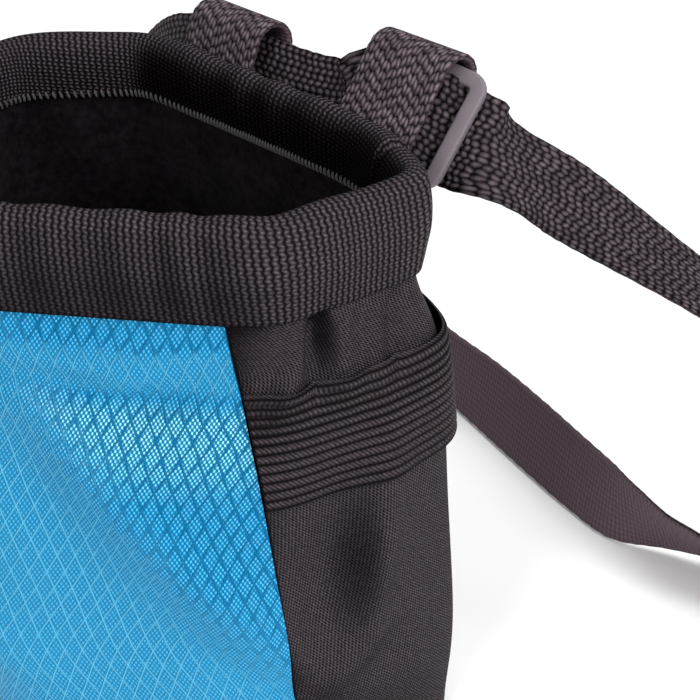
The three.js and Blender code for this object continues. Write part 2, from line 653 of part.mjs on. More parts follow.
// Finishes: colour, roughness and metalness.
const finish = (color, roughness) => new THREE.MeshStandardMaterial({ color, roughness, metalness: 0 });
const BLUE_CLOTH = finish('#2a93c6', 0.55);
const BLACK_CLOTH = finish('#2b282b', 0.8);
const FLEECE = finish('#1d1a1d', 0.95);
const TAPE = finish('#2f2b2f', 0.8);
const ELASTIC = finish('#343035', 0.8);
const WEBBING = finish('#2c272b', 0.75);
const GREY_PLASTIC = finish('#5c585e', 0.55);
const BLACK_PLASTIC = finish('#262427', 0.5);

const bag = new THREE.Group();

function add(name, geometry, material) {
  const mesh = new THREE.Mesh(geometry, material);
  mesh.name = name;
  bag.add(mesh);
}

add('front_panel', shellPanel(0, FRONT_STEPS), BLUE_CLOTH);
add('body_panel', shellPanel(FRONT_STEPS, FRONT_STEPS + BODY_STEPS), BLACK_CLOTH);
add('base_panel', basePanel(), BLACK_CLOTH);
add('lining', liningCup(), FLEECE);
add('rim_binding', rimBinding(), TAPE);
add('brush_band', brushBand(), ELASTIC);
for (const loop of LOOPS) add(loop.name, beltLoop(loop), WEBBING);
add('belt_strap', webbing(beltStations(), BELT_WIDTH, BELT_THICK), WEBBING);
add('slider', sliderBars(), GREY_PLASTIC);
add('buckle', buckleBlock(), BLACK_PLASTIC);

export default bag;
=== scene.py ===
# %% [markdown]
# A climbing chalk bag stands on a white floor: a cloth bucket with a padded rim, a fleece
# lining, an elastic band for brushes, and a webbing belt that runs through two loops behind
# the rim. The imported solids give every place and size; these cells dress them. A cell first
# says what a piece is on the real bag, then makes it. Lengths are in millimetres until the
# points go into a mesh, which is in metres.

# %% The frame
import math
import bpy
import numpy as np
from mathutils import Euler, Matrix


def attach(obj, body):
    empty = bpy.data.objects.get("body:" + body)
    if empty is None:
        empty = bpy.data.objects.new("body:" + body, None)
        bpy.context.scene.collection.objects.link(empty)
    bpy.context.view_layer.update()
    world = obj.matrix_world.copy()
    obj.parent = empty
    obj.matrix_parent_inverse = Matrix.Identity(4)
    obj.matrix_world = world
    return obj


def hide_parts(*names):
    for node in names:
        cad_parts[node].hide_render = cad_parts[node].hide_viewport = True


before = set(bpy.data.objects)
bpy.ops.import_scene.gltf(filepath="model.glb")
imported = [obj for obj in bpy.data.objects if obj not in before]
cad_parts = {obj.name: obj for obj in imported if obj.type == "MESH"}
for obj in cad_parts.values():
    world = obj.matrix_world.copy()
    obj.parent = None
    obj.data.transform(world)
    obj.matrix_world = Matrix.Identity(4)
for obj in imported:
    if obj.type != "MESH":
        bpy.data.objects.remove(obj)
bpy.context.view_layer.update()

print("nodes:", sorted(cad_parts))

# %% [markdown]
# The camera looks down at the bag from its front right corner. Its place was worked out from
# the photo: the rim's crest, the belt and the floor line fix it to within a few millimetres.
# A long lens so close to the bag still shows strong perspective, as the photo does.

# %% The camera
CAMERA_PLACE = (0.30384, -0.25415, 0.34437)
CAMERA_TURN = (58.0, 0.0, 43.8)
CAMERA_LENS = 97.02

camera_data = bpy.data.cameras.new("camera")
camera_data.lens = CAMERA_LENS
camera_data.sensor_width = 36.0
camera_data.clip_start = 0.01
camera = bpy.data.objects.new("camera", camera_data)
camera.location = CAMERA_PLACE
camera.rotation_euler = Euler([math.radians(a) for a in CAMERA_TURN])
bpy.context.collection.objects.link(camera)
bpy.context.scene.camera = camera

# %% [markdown]
# Most pieces are skins over a row of rings: a profile carried round the bag or along a strap.
# One helper joins the rings with quads, caps the ends of an open row, and lays out a flat
# cloth map. The map is measured on the surface in millimetres, so a weave keeps its size.
# A second map says how squarely each point faces the main light: from 1 full on, through 0
# edge on, to -1 turned away. The finishes read it to paint light and shade into the base colour:
# paler where a point faces the key light, darker where it turns away.

# %% Skins over rings
MM = 0.001
KEY_PLACE = (1.00, 0.10, 0.85)
LIGHT_AIM = (0.0, 0.0, 0.08)
KEY_WAY = np.subtract(KEY_PLACE, LIGHT_AIM)
KEY_WAY /= np.linalg.norm(KEY_WAY)


def units(vectors):
    """Each vector over its own length."""
    return vectors / np.linalg.norm(vectors, axis=-1, keepdims=True)


def run_along(line):
    """The length from the line's start to each of its points."""
    return np.concatenate([[0], np.cumsum(np.linalg.norm(np.diff(line, axis=0), axis=1))])


def flat_map(points, closed, even):
    """u is the length along each row of stations, v the length along each ring, in mm.

    With even set, u is the mean over the ring, so that ribs run straight across a roll.
    """
    rows = np.concatenate([points, points[:1]]) if closed else points
    rows = np.concatenate([rows, rows[:, :1]], axis=1)
    u = np.zeros(rows.shape[:2])
    v = np.zeros(rows.shape[:2])
    u[1:] = np.cumsum(np.linalg.norm(np.diff(rows, axis=0), axis=2), axis=0)
    v[:, 1:] = np.cumsum(np.linalg.norm(np.diff(rows, axis=1), axis=2), axis=1)
    if even:
        u[:] = u.mean(axis=1, keepdims=True)
        v[:] = v.mean(axis=0, keepdims=True)
    else:
        u -= u[len(u) // 2]
    return u, v


def ring_quads(stations, size, closed):
    """Quads between station s and s + 1, from corner k to k + 1, both wrapping round."""
    s = np.arange(stations if closed else stations - 1)[:, None]
    k = np.arange(size)[None, :]
    corner = lambda i, j: (i % stations) * size + j % size
    mapped = lambda i, j: i * (size + 1) + j
    corners = [(s, k), (s + 1, k), (s + 1, k + 1), (s, k + 1)]
    join = lambda rule: np.stack([np.broadcast_to(rule(i, j), (len(s), size)) for i, j in corners], -1)
    return join(corner).reshape(-1, 4), join(mapped).reshape(-1, 4)


def cap_quads(stations, size):
    """A ladder across each end: corner k is joined to the one across the ring."""
    k = np.arange(size // 2 - 1)
    first = np.stack([k, k + 1, size - 2 - k, size - 1 - k], -1)
    last = (first + (stations - 1) * size)[:, ::-1]
    mapped_last = (first + (stations - 1) * (size + 1))[:, ::-1]
    return np.concatenate([first, last]), np.concatenate([first, mapped_last])


def volume_of(points, quads):
    """Six times the volume that the quads enclose, from their two triangles each."""
    a, b, c, d = (points[quads[:, i]] for i in range(4))
    return np.einsum("ij,ij->", a, np.cross(b, c)) + np.einsum("ij,ij->", a, np.cross(c, d))


def put_mesh(name, points, quads, u_corner, v_corner, material, sharp=50.0):
    """Puts points in mm and quads into a new mesh object, with both maps per corner."""
    mesh = bpy.data.meshes.new(name)
    mesh.from_pydata((points * MM).tolist(), [], quads.tolist())
    normals = np.zeros(3 * len(points), np.float32)
    mesh.vertices.foreach_get("normal", normals)
    # The facing map: each normal against the way to the key light, from which the finishes paint light
    # and shade.
    facing = (normals.reshape(-1, 3) @ KEY_WAY)[quads.ravel()]
    for map_name, pair in (("cloth", (u_corner, v_corner)), ("facing", (facing, facing))):
        layer = mesh.uv_layers.new(name=map_name)
        layer.data.foreach_set("uv", np.stack(pair, -1).astype(np.float32).ravel())
    mesh.polygons.foreach_set("use_smooth", np.ones(len(mesh.polygons), bool))
    mesh.set_sharp_from_angle(angle=math.radians(sharp))
    mesh.materials.append(material)
    piece = bpy.data.objects.new(name, mesh)
    bpy.context.collection.objects.link(piece)
    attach(piece, "root")
    print(f"{name}: {len(points)} points, {2 * len(quads)} triangles")
    return piece


def skin(name, rings, closed, material, even=False, sharp=50.0, uv=None):
    """A closed skin over rings of points, shape (stations, corners, 3), in mm."""
    stations, size = rings.shape[:2]
    u, v = uv if uv is not None else flat_map(rings, closed, even)
    quads, mapped = ring_quads(stations, size, closed)
    if not closed:
        ends, mapped_ends = cap_quads(stations, size)
        quads = np.concatenate([quads, ends])
        mapped = np.concatenate([mapped, mapped_ends])
    points = rings.reshape(-1, 3)
    if volume_of(points, quads) < 0:
        quads, mapped = quads[:, ::-1], mapped[:, ::-1]
    flat = mapped.ravel()
    return put_mesh(name, points, quads, u.ravel()[flat], v.ravel()[flat], material, sharp)


# %% [markdown]
# Finishes are written as sums. A Value wraps one socket, and every sign between two values
# adds a Math node, so a weave reads like its formula. Colours go through one mixing method.

# %% Shader values
class Value:
    """A number that a shader works out at each point."""

    def __init__(self, finish, socket):
        self.finish = finish
        self.socket = socket

    def math(self, operation, *others):
        inputs = {i: value for i, value in enumerate((self, *others))}
        return self.finish.node("ShaderNodeMath", {"operation": operation}, inputs)

    def __add__(self, other):
        return self.math("ADD", other)

    def __sub__(self, other):
        return self.math("SUBTRACT", other)

    def __mul__(self, other):
        return self.math("MULTIPLY", other)

    def __truediv__(self, other):
        return self.math("DIVIDE", other)

    def __rsub__(self, other):
        return self.finish.node("ShaderNodeMath", {"operation": "SUBTRACT"}, {0: other, 1: self})

    __radd__ = __add__
    __rmul__ = __mul__

    def cosine(self):
        return self.math("COSINE")

    def wrap(self, length):
        return self.math("FLOORED_MODULO", length)

    def fold(self, half):
        return self.math("PINGPONG", half)

    def most(self, other):
        return self.math("MAXIMUM", other)

    def least(self, other):
        return self.math("MINIMUM", other)

    def power(self, other):
        return self.math("POWER", other)

    def step(self, low, high):
        """0 below low, 1 above high, smooth between."""
        settings = {"interpolation_type": "SMOOTHSTEP"}
        inputs = {"Value": self, "From Min": low, "From Max": high}
        return self.finish.node("ShaderNodeMapRange", settings, inputs)


class Finish:
    """One material: its nodes, and the shader that its values end in."""

    def __init__(self, name, **sockets):
        self.material = bpy.data.materials.new(name)
        self.material.use_nodes = True
        self.nodes = self.material.node_tree.nodes
        self.links = self.material.node_tree.links
        self.nodes.clear()
        self.shader = self.nodes.new("ShaderNodeBsdfPrincipled")
        output = self.nodes.new("ShaderNodeOutputMaterial")
        self.links.new(self.shader.outputs[0], output.inputs[0])
        for key, value in sockets.items():
            self.feed(key.replace("_", " "), value)

    def plug(self, socket, value):
        if isinstance(value, Value):
            self.links.new(value.socket, socket)
        elif isinstance(value, (tuple, list)) and len(value) == 3 and len(socket.default_value) == 4:
            socket.default_value = (*value, 1.0)
        else:
            socket.default_value = value

    def feed(self, key, value):
        self.plug(self.shader.inputs[key], value)

    def node(self, kind, settings=None, inputs=None, output=0):
        """A node of this kind: its settings first, then the values or links of its sockets."""
        node = self.nodes.new(kind)
        for key, value in (settings or {}).items():
            setattr(node, key, value)
        for key, value in (inputs or {}).items():
            self.plug(node.inputs[key], value)
        return Value(self, node.outputs[output])

    def mix(self, share, first, second):
        """The first colour where share is 0 and the second where it is 1."""
        inputs = {0: share, 6: first, 7: second}
        return self.node("ShaderNodeMix", {"data_type": "RGBA"}, inputs, output=2)

    def cloth(self):
        """The cloth map's two lengths, in mm."""
        uv = self.node("ShaderNodeUVMap", {"uv_map": "cloth"})
        return tuple(self.node("ShaderNodeSeparateXYZ", {}, {0: uv}, output=i) for i in (0, 1))

    def facing(self, low, high):
        """0 where the cloth turns away from the key light, 1 where it faces it: the finishes paint
        light and shade with it.
        """
        uv = self.node("ShaderNodeUVMap", {"uv_map": "facing"})
        return self.node("ShaderNodeSeparateXYZ", {}, {0: uv}, output=0).step(low, high)

    def place(self):
        """The point's place on the object, in metres."""
        return self.node("ShaderNodeTexCoord", {}, {}, output=3)

    def noise(self, scale, detail=2.0, rough=0.5):
        inputs = {"Vector": self.place(), "Scale": scale, "Detail": detail, "Roughness": rough}
        return self.node("ShaderNodeTexNoise", {}, inputs)

    def bump(self, height, distance, strength=1.0):
        """Tips the shading normal as if the surface rose by height times distance in metres."""
        inputs = {"Height": height, "Distance": distance, "Strength": strength}
        self.feed("Normal", self.node("ShaderNodeBump", {}, inputs))


def staggered(u, v, pitch_u, pitch_v):
    """Round bumps in rows, each row half a step along: half of 1 + cos(u) cos(v)."""
    turn = 2.0 * math.pi
    return ((u * (turn / pitch_u)).cosine() * (v * (turn / pitch_v)).cosine()) * 0.5 + 0.5


def scales(u, v, pitch_u, pitch_v, wide, tall, slant):
    """Plump ovals: 1 - (du / wide)^2 - (dv / tall)^2 round two sets of centres that slant apart."""
    def dome(shift, lean):
        across = ((u / pitch_u + shift + v * (lean / pitch_u)).wrap(1.0) - 0.5) / wide
        along = ((v / pitch_v + shift).wrap(1.0) - 0.5) / tall
        return 1.0 - across * across - along * along
    return dome(0.0, slant).most(dome(0.5, -slant)).most(0.0)


def hump(value, pitch):
    """Rises to 1 in the middle of each step and falls to 0 between steps."""
    return (value * (2.0 * math.pi / pitch)).cosine() * 0.5 + 0.5


# %% [markdown]
# The front is diamond ripstop. Doubled threads cross in long diamonds and stand a little proud;
# between them a loose basket weave shows as staggered rows of shiny dots over a dark ground.
# Light and shade are painted into the colour. Where the cloth faces the key light it takes a lit
# copy: bright dots and a dark grid. Where it turns away it takes a shaded copy with the lighter
# grid, and so do the strip under the rim and the cloth left of the long ridge that slants down
# the front: painted shade. Just below the valley under the rim a painted highlight turns the dots
# nearly white.

# %% Blue ripstop
DIAMOND_WIDE = 4.15
DIAMOND_TALL = 8.3
DOT_WIDE = 1.06
DOT_TALL = 1.5
GRID_HALF = 0.055
# Where the painted light and shade fall on the front, in mm on the cloth map.
RIDGE_ACROSS = (0.77, 0.64)
RIDGE_FADE = (72.0, 98.0)
SHADE_STRIP_LOW = (117.0, 121.0)
SHADE_STRIP_HIGH = (127.0, 130.0)
GLINT_LOW = (90.0, 108.0)
GLINT_HIGH = (112.0, 118.0)


def blue_ripstop():
    finish = Finish("blue_ripstop", Specular_IOR_Level=0.06, Coat_Roughness=0.38)
    u, v = finish.cloth()
    waver = finish.noise(45.0) - 0.5
    along = u / DIAMOND_WIDE + waver * 0.1
    up = v / DIAMOND_TALL
    one = (along + up).fold(0.5)
    other = (along - up).fold(0.5)
    near = one.least(other)
    grid = 1.0 - near.step(0.5 * GRID_HALF, 1.5 * GRID_HALF)
    shade = 1.0 - near.step(GRID_HALF, 1.9 * GRID_HALF)
    dots = staggered(u, v, DOT_WIDE, DOT_TALL).step(0.38, 0.8)
    seen = dots * (1.0 - shade)
    # Painted shade: left of the long ridge and in the strip under the rim the colour takes its shaded
    # copy.
    above = (u * RIDGE_ACROSS[0] + v * RIDGE_ACROSS[1] + waver * 12.0).step(*RIDGE_FADE)
    under_rim_shade = (v + waver * 3.0).step(*SHADE_STRIP_LOW) * (1.0 - v.step(*SHADE_STRIP_HIGH))
    lit = finish.facing(-0.10, 0.22) * above * (1.0 - under_rim_shade * 0.8)
    # Painted highlight: just below the valley, where the cloth faces the key light, the dots turn
    # nearly white.
    glint = finish.facing(0.20, 0.50) * above * v.step(*GLINT_LOW) * (1.0 - v.step(*GLINT_HIGH))
    shine = finish.mix(glint, (0.040, 0.480, 0.860), (0.300, 0.880, 1.0))
    # Lit and shaded copies of the cells and the grid: painted light and shade.
    bright = finish.mix(dots, (0.002, 0.150, 0.340), shine)
    shaded_cell = finish.mix(dots, (0.012, 0.200, 0.400), (0.036, 0.400, 0.700))
    line = finish.mix(lit, (0.095, 0.440, 0.700), (0.002, 0.140, 0.310))
    cell = finish.mix(lit, shaded_cell, bright)
    # Painted shade beside each grid line.
    edged = finish.mix(shade * 0.5, cell, (0.001, 0.130, 0.300))
    woven = finish.mix(grid, edged, line)
    fade = finish.noise(16.0, 3.0).step(0.35, 0.7)
    finish.feed("Base Color", finish.mix(fade * 0.14, woven, (0.030, 0.330, 0.560)))
    finish.feed("Roughness", 0.6 - seen * 0.2)
    finish.feed("Coat Weight", seen * 0.8)
    finish.bump(seen * 0.7 + grid, 0.0004, 0.9)
    return finish.material


# %% [markdown]
# The body is a black oxford of thick yarns. Over and under crossings make a fine staggered
# relief that reads as slanted lines at this scale. Light and shade are painted into its colour: the
# crowns carry a painted highlight in warm grey, paler where the cloth faces the key light, and
# painted shade leaves the gaps nearly black.

# %% Black yarn
# Painted shade: the colour of the gaps between yarns.
GAP_SHADE = (0.0012, 0.0004, 0.0010)


def black_yarn(finish, height, facing, dark, pale, rough, relief):
    """Painted light: yarn dark to pale by its facing, crowns paler than the painted-shade gaps; rough
    is (gap, how much less on top).
    """
    fibres = finish.noise(1300.0, 2.0).step(0.3, 0.7)
    # Painted light and shade: the yarn is dark where it turns from the key light and pale where it
    # faces it.
    lit = finish.mix(finish.facing(*facing), dark, pale)
    finish.feed("Base Color", finish.mix(height * (fibres * 0.4 + 0.6), GAP_SHADE, lit))
    finish.feed("Roughness", rough[0] - height * rough[1])
    finish.bump(height, relief, 1.0)
    return finish.material


# %% Black oxford
OXFORD_WIDE = 0.9
OXFORD_TALL = 1.5


def black_oxford():
    finish = Finish("black_oxford", Specular_IOR_Level=0.05)
    u, v = finish.cloth()
    waver = (finish.noise(260.0) - 0.5) * 0.4
    lean = u + v * 0.35 + waver
    crowns = staggered(lean, v + waver, OXFORD_WIDE, OXFORD_TALL).power(1.3)
    # Shaded and lit colours of the painted light; the facing map picks between them.
    dark, pale = (0.018, 0.015, 0.018), (0.140, 0.114, 0.129)
    return black_yarn(finish, crowns, (0.45, 0.82), dark, pale, (0.7, 0.2), 0.0005)


# %% [markdown]
# The rim's tape is ribbed: columns of small beads stand side by side across the tape, with a
# thin line of painted shade between the columns. The beads follow the roll over the crest, so the
# pattern reads the cloth map and not the object's place. Like the body, the beads are painted
# paler where the tape faces the key light: painted light and shade.

# %% Binding tape
TAPE_COLUMN = 1.55
TAPE_ROW = 1.02


def binding_tape():
    finish = Finish("binding_tape", Specular_IOR_Level=0.05)
    u, v = finish.cloth()
    waver = (finish.noise(240.0) - 0.5) * 0.5
    zigzag = (hump(v, 2.0 * TAPE_ROW) - 0.5) * 0.35
    columns = hump(u + waver * 0.7 + zigzag, TAPE_COLUMN)
    rows = hump(v + u * 0.12 + waver, TAPE_ROW)
    beads = (columns * (rows * 0.7 + 0.3)).power(0.9)
    # Shaded and lit colours of the painted light, picked by the facing map.
    dark, pale = (0.009, 0.005, 0.007), (0.165, 0.132, 0.150)
    return black_yarn(finish, beads, (-0.1, 0.8), dark, pale, (0.72, 0.15), 0.0009)


# %% [markdown]
# The lining is short black fleece: no weave shows, only soft clumps of fibre. Two sizes of
# noise make the clumps, and a faint sheen gives the pile its dusty edge.

# %% Fleece
def fleece():
    sheen = {"Sheen_Weight": 0.03, "Sheen_Roughness": 0.6}
    finish = Finish("fleece", Specular_IOR_Level=0.05, Roughness=0.95, **sheen)
    clumps = finish.noise(420.0, 4.0, rough=0.7)
    soft = finish.noise(90.0, 2.0)
    pile = (clumps * 0.7 + soft * 0.3).step(0.35, 0.72)
    finish.feed("Base Color", finish.mix(pile, (0.0015, 0.0008, 0.0014), (0.0125, 0.0088, 0.0115)))
    finish.bump(clumps + soft, 0.0006, 0.7)
    return finish.material


# %% [markdown]
# The brush band is ribbed elastic. The ribs are real relief in its mesh; the finish adds the
# slanted covering threads that wind over each rib and painted shade in the furrows between ribs.
# Its colour is also painted dark to pale by how it faces the key light.

# %% Elastic
RIB_PITCH = 2.42
THREAD_PITCH = 1.12


def elastic():
    finish = Finish("elastic", Specular_IOR_Level=0.05)
    u, v = finish.cloth()
    rib = hump(v, RIB_PITCH)
    winding = hump(u + v * 0.45, THREAD_PITCH)
    threads = (rib.power(0.7) * (winding * 0.7 + 0.3)).power(1.1)
    # Shaded and lit colours of the painted light, picked by the facing map.
    dark, pale = (0.030, 0.023, 0.027), (0.125, 0.100, 0.113)
    return black_yarn(finish, threads, (0.3, 0.85), dark, pale, (0.7, 0.15), 0.0008)


# %% [markdown]
# Belt and loops are chunky webbing: thick yarns cross in staggered ovals. Each oval's colour
# falls from its crown to near black in the holes between them: painted shade. The belt and the
# loops share one recipe, with the yarn size as its input. The reverse of the belt is smoother
# and browner: only faint ribs cross it. The cloth map tells the two sides apart, because it runs
# on at 100 mm on the reverse.

# %% Webbing
REVERSE_SIDE = 100.0


def webbing_finish(name, along, across, wide, tall, slant, light):
    finish = Finish(name, Specular_IOR_Level=0.08)
    u, v = finish.cloth()
    reverse = v.step(0.49 * REVERSE_SIDE, 0.51 * REVERSE_SIDE)
    waver = (finish.noise(420.0) - 0.5) * 0.9
    sway = (finish.noise(190.0) - 0.5) * 0.8
    ovals = scales(u + waver, v + sway, along, across, wide, tall, slant)
    ribs = hump(u + waver * 0.5, 1.3) * 0.45 + hump(v + sway, 1.8) * 0.25 + 0.3
    fibres = finish.noise(1100.0, 3.0)
    worn = finish.noise(330.0, 2.0).step(0.3, 0.75)
    dark, pale = (tuple(share * c for c in light) for share in (0.55, 1.6))
    # Painted shade: the colour falls from each oval's crown to the near black of the holes.
    yarn = finish.mix(ovals, GAP_SHADE, finish.mix(worn * 0.7 + fibres * 0.3, dark, pale))
    back = finish.mix(ribs, (0.040, 0.024, 0.032), (0.140, 0.100, 0.120))
    finish.feed("Base Color", finish.mix(reverse, yarn, back))
    finish.feed("Roughness", 0.75 - ovals * 0.25)
    finish.bump(ovals * (1.0 - reverse) + ribs * reverse * 0.3 + fibres * 0.12, 0.0011, 1.0)
    return finish.material


# %% [markdown]
# The slider and the buckle are moulded plastic: a fine mould grain and faint scuffs that are
# a little paler and rougher.

# %% Plastic
def plastic(name, colour, rough):
    finish = Finish(name, Specular_IOR_Level=0.4)
    grain = finish.noise(2600.0, 2.0)
    scuffs = finish.noise(140.0, 4.0).step(0.45, 0.8)
    pale = tuple(1.25 * c for c in colour)
    finish.feed("Base Color", finish.mix(scuffs * 0.6 + grain * 0.3, colour, pale))
    finish.feed("Roughness", rough + scuffs * 0.1 - grain * 0.06)
    finish.bump(grain, 0.00008, 0.6)
    return finish.material


# %% [markdown]
# The inner hem of the rim is oversewn with a grey thread, a little paler than the tape. It is
# a plain twisted thread, so its finish is a soft dark grey with a fine slanted ply.

# %% Thread
def thread_finish():
    finish = Finish("pale_thread", Specular_IOR_Level=0.3, Sheen_Weight=0.2, Sheen_Roughness=0.5)
    u, v = finish.cloth()
    ply = hump(u + v, 0.35)
    finish.feed("Base Color", finish.mix(ply, (0.030, 0.028, 0.029), (0.105, 0.098, 0.100)))
    finish.feed("Roughness", 0.8 - ply * 0.2)
    finish.bump(ply, 0.00006, 0.8)
    return finish.material


BLUE = blue_ripstop()
BLACK = black_oxford()
TAPE = binding_tape()
FLEECE = fleece()
ELASTIC = elastic()
BELT_WEB = webbing_finish("belt_webbing", 2.3, 3.2, 0.52, 0.31, 0.25, (0.095, 0.073, 0.085))
LOOP_WEB = webbing_finish("loop_webbing", 2.7, 2.4, 0.56, 0.36, 0.45, (0.145, 0.112, 0.130))
GREY_PLASTIC = plastic("grey_plastic", (0.150, 0.126, 0.144), 0.6)
BLACK_PLASTIC = plastic("black_plastic", (0.02, 0.019, 0.02), 0.45)
THREAD = thread_finish()

# %% [markdown]
# The walls share one shape. The cloth is drawn towards seven flats, and at each height the
# section is a soft polygon through them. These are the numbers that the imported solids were
# made from, so the dressed bag stands exactly where they do.

# %% The bag's section
BAG_HEIGHT = 160.0
BAG_WIDTH = 120.0
BAG_DEPTH = 100.0
CLEARANCE = 0.3
SHELL_THICK = 1.4
LINING_THICK = 1.4
BASE_THICK = 2.0
RIM_OUTER_DROP = 25.0
RIM_INNER_DROP = 16.0
SHELL_TOP = BAG_HEIGHT - 8.0
SHELL_BOTTOM = BASE_THICK + CLEARANCE
FLATS = {
    "right": -10, "right_back": 66, "back": 90, "left_back": 138,
    "left": 190, "front": -122, "front_right": -54,
}
HEM = 1 - RIM_OUTER_DROP / BAG_HEIGHT
SECTION_UP = [0.0, 0.2, 0.45, 0.72, HEM, 1.0]
SECTIONS = {
    "right": [1.03, 1.09, 1.09, 1.03, 0.935, 0.935],
    "right_back": [1.16, 1.16, 1.1, 1.01, 0.89, 0.89],
    "back": [0.95, 0.92, 0.85, 0.77, 0.69, 0.69],
    "left_back": [0.95, 1.0, 1.02, 1.0, 0.99, 0.99],
    "left": [0.97, 1.05, 1.1, 1.1, 1.085, 1.085],
    "front": [1.0, 1.09, 1.1, 1.03, 0.94, 0.94],
    "front_right": [1.06, 1.11, 1.08, 0.98, 0.85, 0.85],
    "crisp": [9, 9, 9, 12, 20, 20],
}


def smooth_table(x, xs, ys):
    """A curve through a table's rows that never runs past a row (harmonic mean slopes)."""
    xs, ys = np.asarray(xs, float), np.asarray(ys, float)
    rise = np.diff(ys) / np.diff(xs)
    slopes = np.zeros(len(xs))
    same = rise[:-1] * rise[1:] > 0
    total = np.where(same, rise[:-1] + rise[1:], 1.0)
    slopes[1:-1] = np.where(same, 2 * rise[:-1] * rise[1:] / total, 0.0)
    row = np.clip(np.searchsorted(xs, x, side="right") - 1, 0, len(xs) - 2)
    span = xs[row + 1] - xs[row]
    t = np.clip((x - xs[row]) / span, 0, 1)
    bend = t * t * (3 - 2 * t)
    start = t * (1 - t) ** 2 * span * slopes[row]
    end = t * t * (t - 1) * span * slopes[row + 1]
    return ys[row] + (ys[row + 1] - ys[row]) * bend + start + end


def smoothstep(x, low, high):
    """0 below low, 1 above high, 3t^2 - 2t^3 between."""
    t = np.clip((x - low) / (high - low), 0, 1)
    return t * t * (3 - 2 * t)


# %% [markdown]
# An empty bag never hangs smooth. The big folds are in the solids as well; the creases are the
# smaller ones that the light shows: a valley under the rim with a ridge slanting down from it
# on the blue front, and pleats under the rim and under the band on the black side. Each row is
# one fold: its turn, its height, how its line tilts, and how long, wide and deep it is. Each
# fades out like a bell curve. Folds are shares of the height, creases are in mm.

# %% Folds
FOLDS = np.array([
    (-100, 0.67, 0, 0.4, 0.055, -0.014),
    (-96, 0.42, -52, 0.36, 0.07, 0.02),
    (-78, 0.62, -50, 0.16, 0.05, -0.012),
    (-150, 0.4, 35, 0.3, 0.07, 0.014),
    (-12, 0.46, 80, 0.22, 0.045, -0.01),
    (50, 0.3, 60, 0.2, 0.06, 0.008),
    (100, 0.4, 12, 0.25, 0.06, -0.01),
    (160, 0.55, -30, 0.22, 0.06, -0.012),
])
CREASES = np.array([
    (-74, 118.5, -7, 26, 5.0, -4.2),
    (-43, 117.5, 22, 15, 4.6, -3.4),
    (-60, 104.0, -4, 28, 7.5, 1.8),
    (-44, 79.0, -49, 40, 7.5, 3.4),
    (-70, 84.0, -49, 40, 11.0, -2.4),
    (-30, 45.0, -40, 22, 6.5, -1.6),
    (-88, 55.0, -30, 26, 7.5, 2.0),
    (-7, 127.0, 72, 10, 2.8, -3.8),
    (-1, 126.0, 78, 10, 3.0, 2.0),
    (12, 124.0, 68, 9, 2.4, -2.4),
    (-15, 122.0, 60, 9, 2.8, 1.5),
    (3, 71.0, 84, 24, 4.5, 3.0),
    (-8, 66.0, 80, 24, 6.0, -2.6),
    (-5, 40.0, 40, 16, 4.5, 1.2),
    (18, 58.0, 96, 26, 6.0, -1.8),
    (60, 118.0, 80, 12, 4.0, -1.6),
    (120, 80.0, 60, 26, 6.0, -1.4),
    (150, 60.0, 110, 24, 6.0, 1.4),
    (185, 100.0, 20, 24, 5.0, -1.6),
    (205, 70.0, -35, 28, 6.0, 1.4),
])


def bell_sum(rows, turn, z):
    """Sum over rows of depth * exp(-(along / long)^2 - (across / wide)^2), in mm."""
    relief = np.zeros(np.broadcast(turn, z).shape)
    for row_turn, height, tilt, long, wide, depth in rows:
        away = np.mod(turn - math.radians(row_turn) + math.pi, 2 * math.pi) - math.pi
        along, rise = away * BAG_WIDTH / 2, z - height
        cos, sin = math.cos(math.radians(tilt)), math.sin(math.radians(tilt))
        lengthwise, across = along * cos + rise * sin, rise * cos - along * sin
        relief += depth * np.exp(-(lengthwise / long) ** 2 - (across / wide) ** 2)
    return relief


def fold_relief(turn, z):
    """Folds fade out below the rim's hem, creases just at it, and both at the bottom."""
    hem = BAG_HEIGHT - RIM_OUTER_DROP
    in_mm = FOLDS * (1, BAG_HEIGHT, 1, BAG_HEIGHT, BAG_HEIGHT, BAG_HEIGHT)
    folds = bell_sum(in_mm, turn, z) * (1 - smoothstep(z, hem - 0.5 * RIM_OUTER_DROP, hem))
    creases = bell_sum(CREASES, turn, z) * (1 - smoothstep(z, hem - 4, hem + 2))
    return (folds + creases) * smoothstep(z, 0, 0.15 * BAG_HEIGHT)


def shell_radius(turn, z):
    """Soft polygon: the sum over flats of (cos(turn - facing) / reach)^crisp, to the power -1/crisp."""
    up = np.clip(np.asarray(z, float) / BAG_HEIGHT, 0, 1)
    crisp = smooth_table(up, SECTION_UP, SECTIONS["crisp"])
    total = 0.0
    for flat, facing in FLATS.items():
        face = math.radians(facing)
        half = math.hypot(BAG_WIDTH / 2 * math.cos(face), BAG_DEPTH / 2 * math.sin(face))
        reach = smooth_table(up, SECTION_UP, SECTIONS[flat]) * half
        total = total + (np.maximum(np.cos(turn - face), 0) / reach) ** crisp
    return total ** (-1 / crisp) + fold_relief(turn, z)


def wall_point(turn, z, out):
    """The point at this turn and height, moved out level along the section's own normal."""
    small = 0.004
    turn, z, out = np.broadcast_arrays(turn, z, out)
    radius = shell_radius(turn, z)
    change = (shell_radius(turn + small, z) - shell_radius(turn - small, z)) / (2 * small)
    ahead_x = change * np.cos(turn) - radius * np.sin(turn)
    ahead_y = change * np.sin(turn) + radius * np.cos(turn)
    length = np.hypot(ahead_x, ahead_y)
    x = radius * np.cos(turn) + out * ahead_y / length
    y = radius * np.sin(turn) - out * ahead_x / length
    return np.stack([x, y, z.astype(float)], -1)


# %% Seams and places round the bag
RIGHT_SEAM = (-14.0, -29.5)
LEFT_SEAM = (-168.0, -156.0)


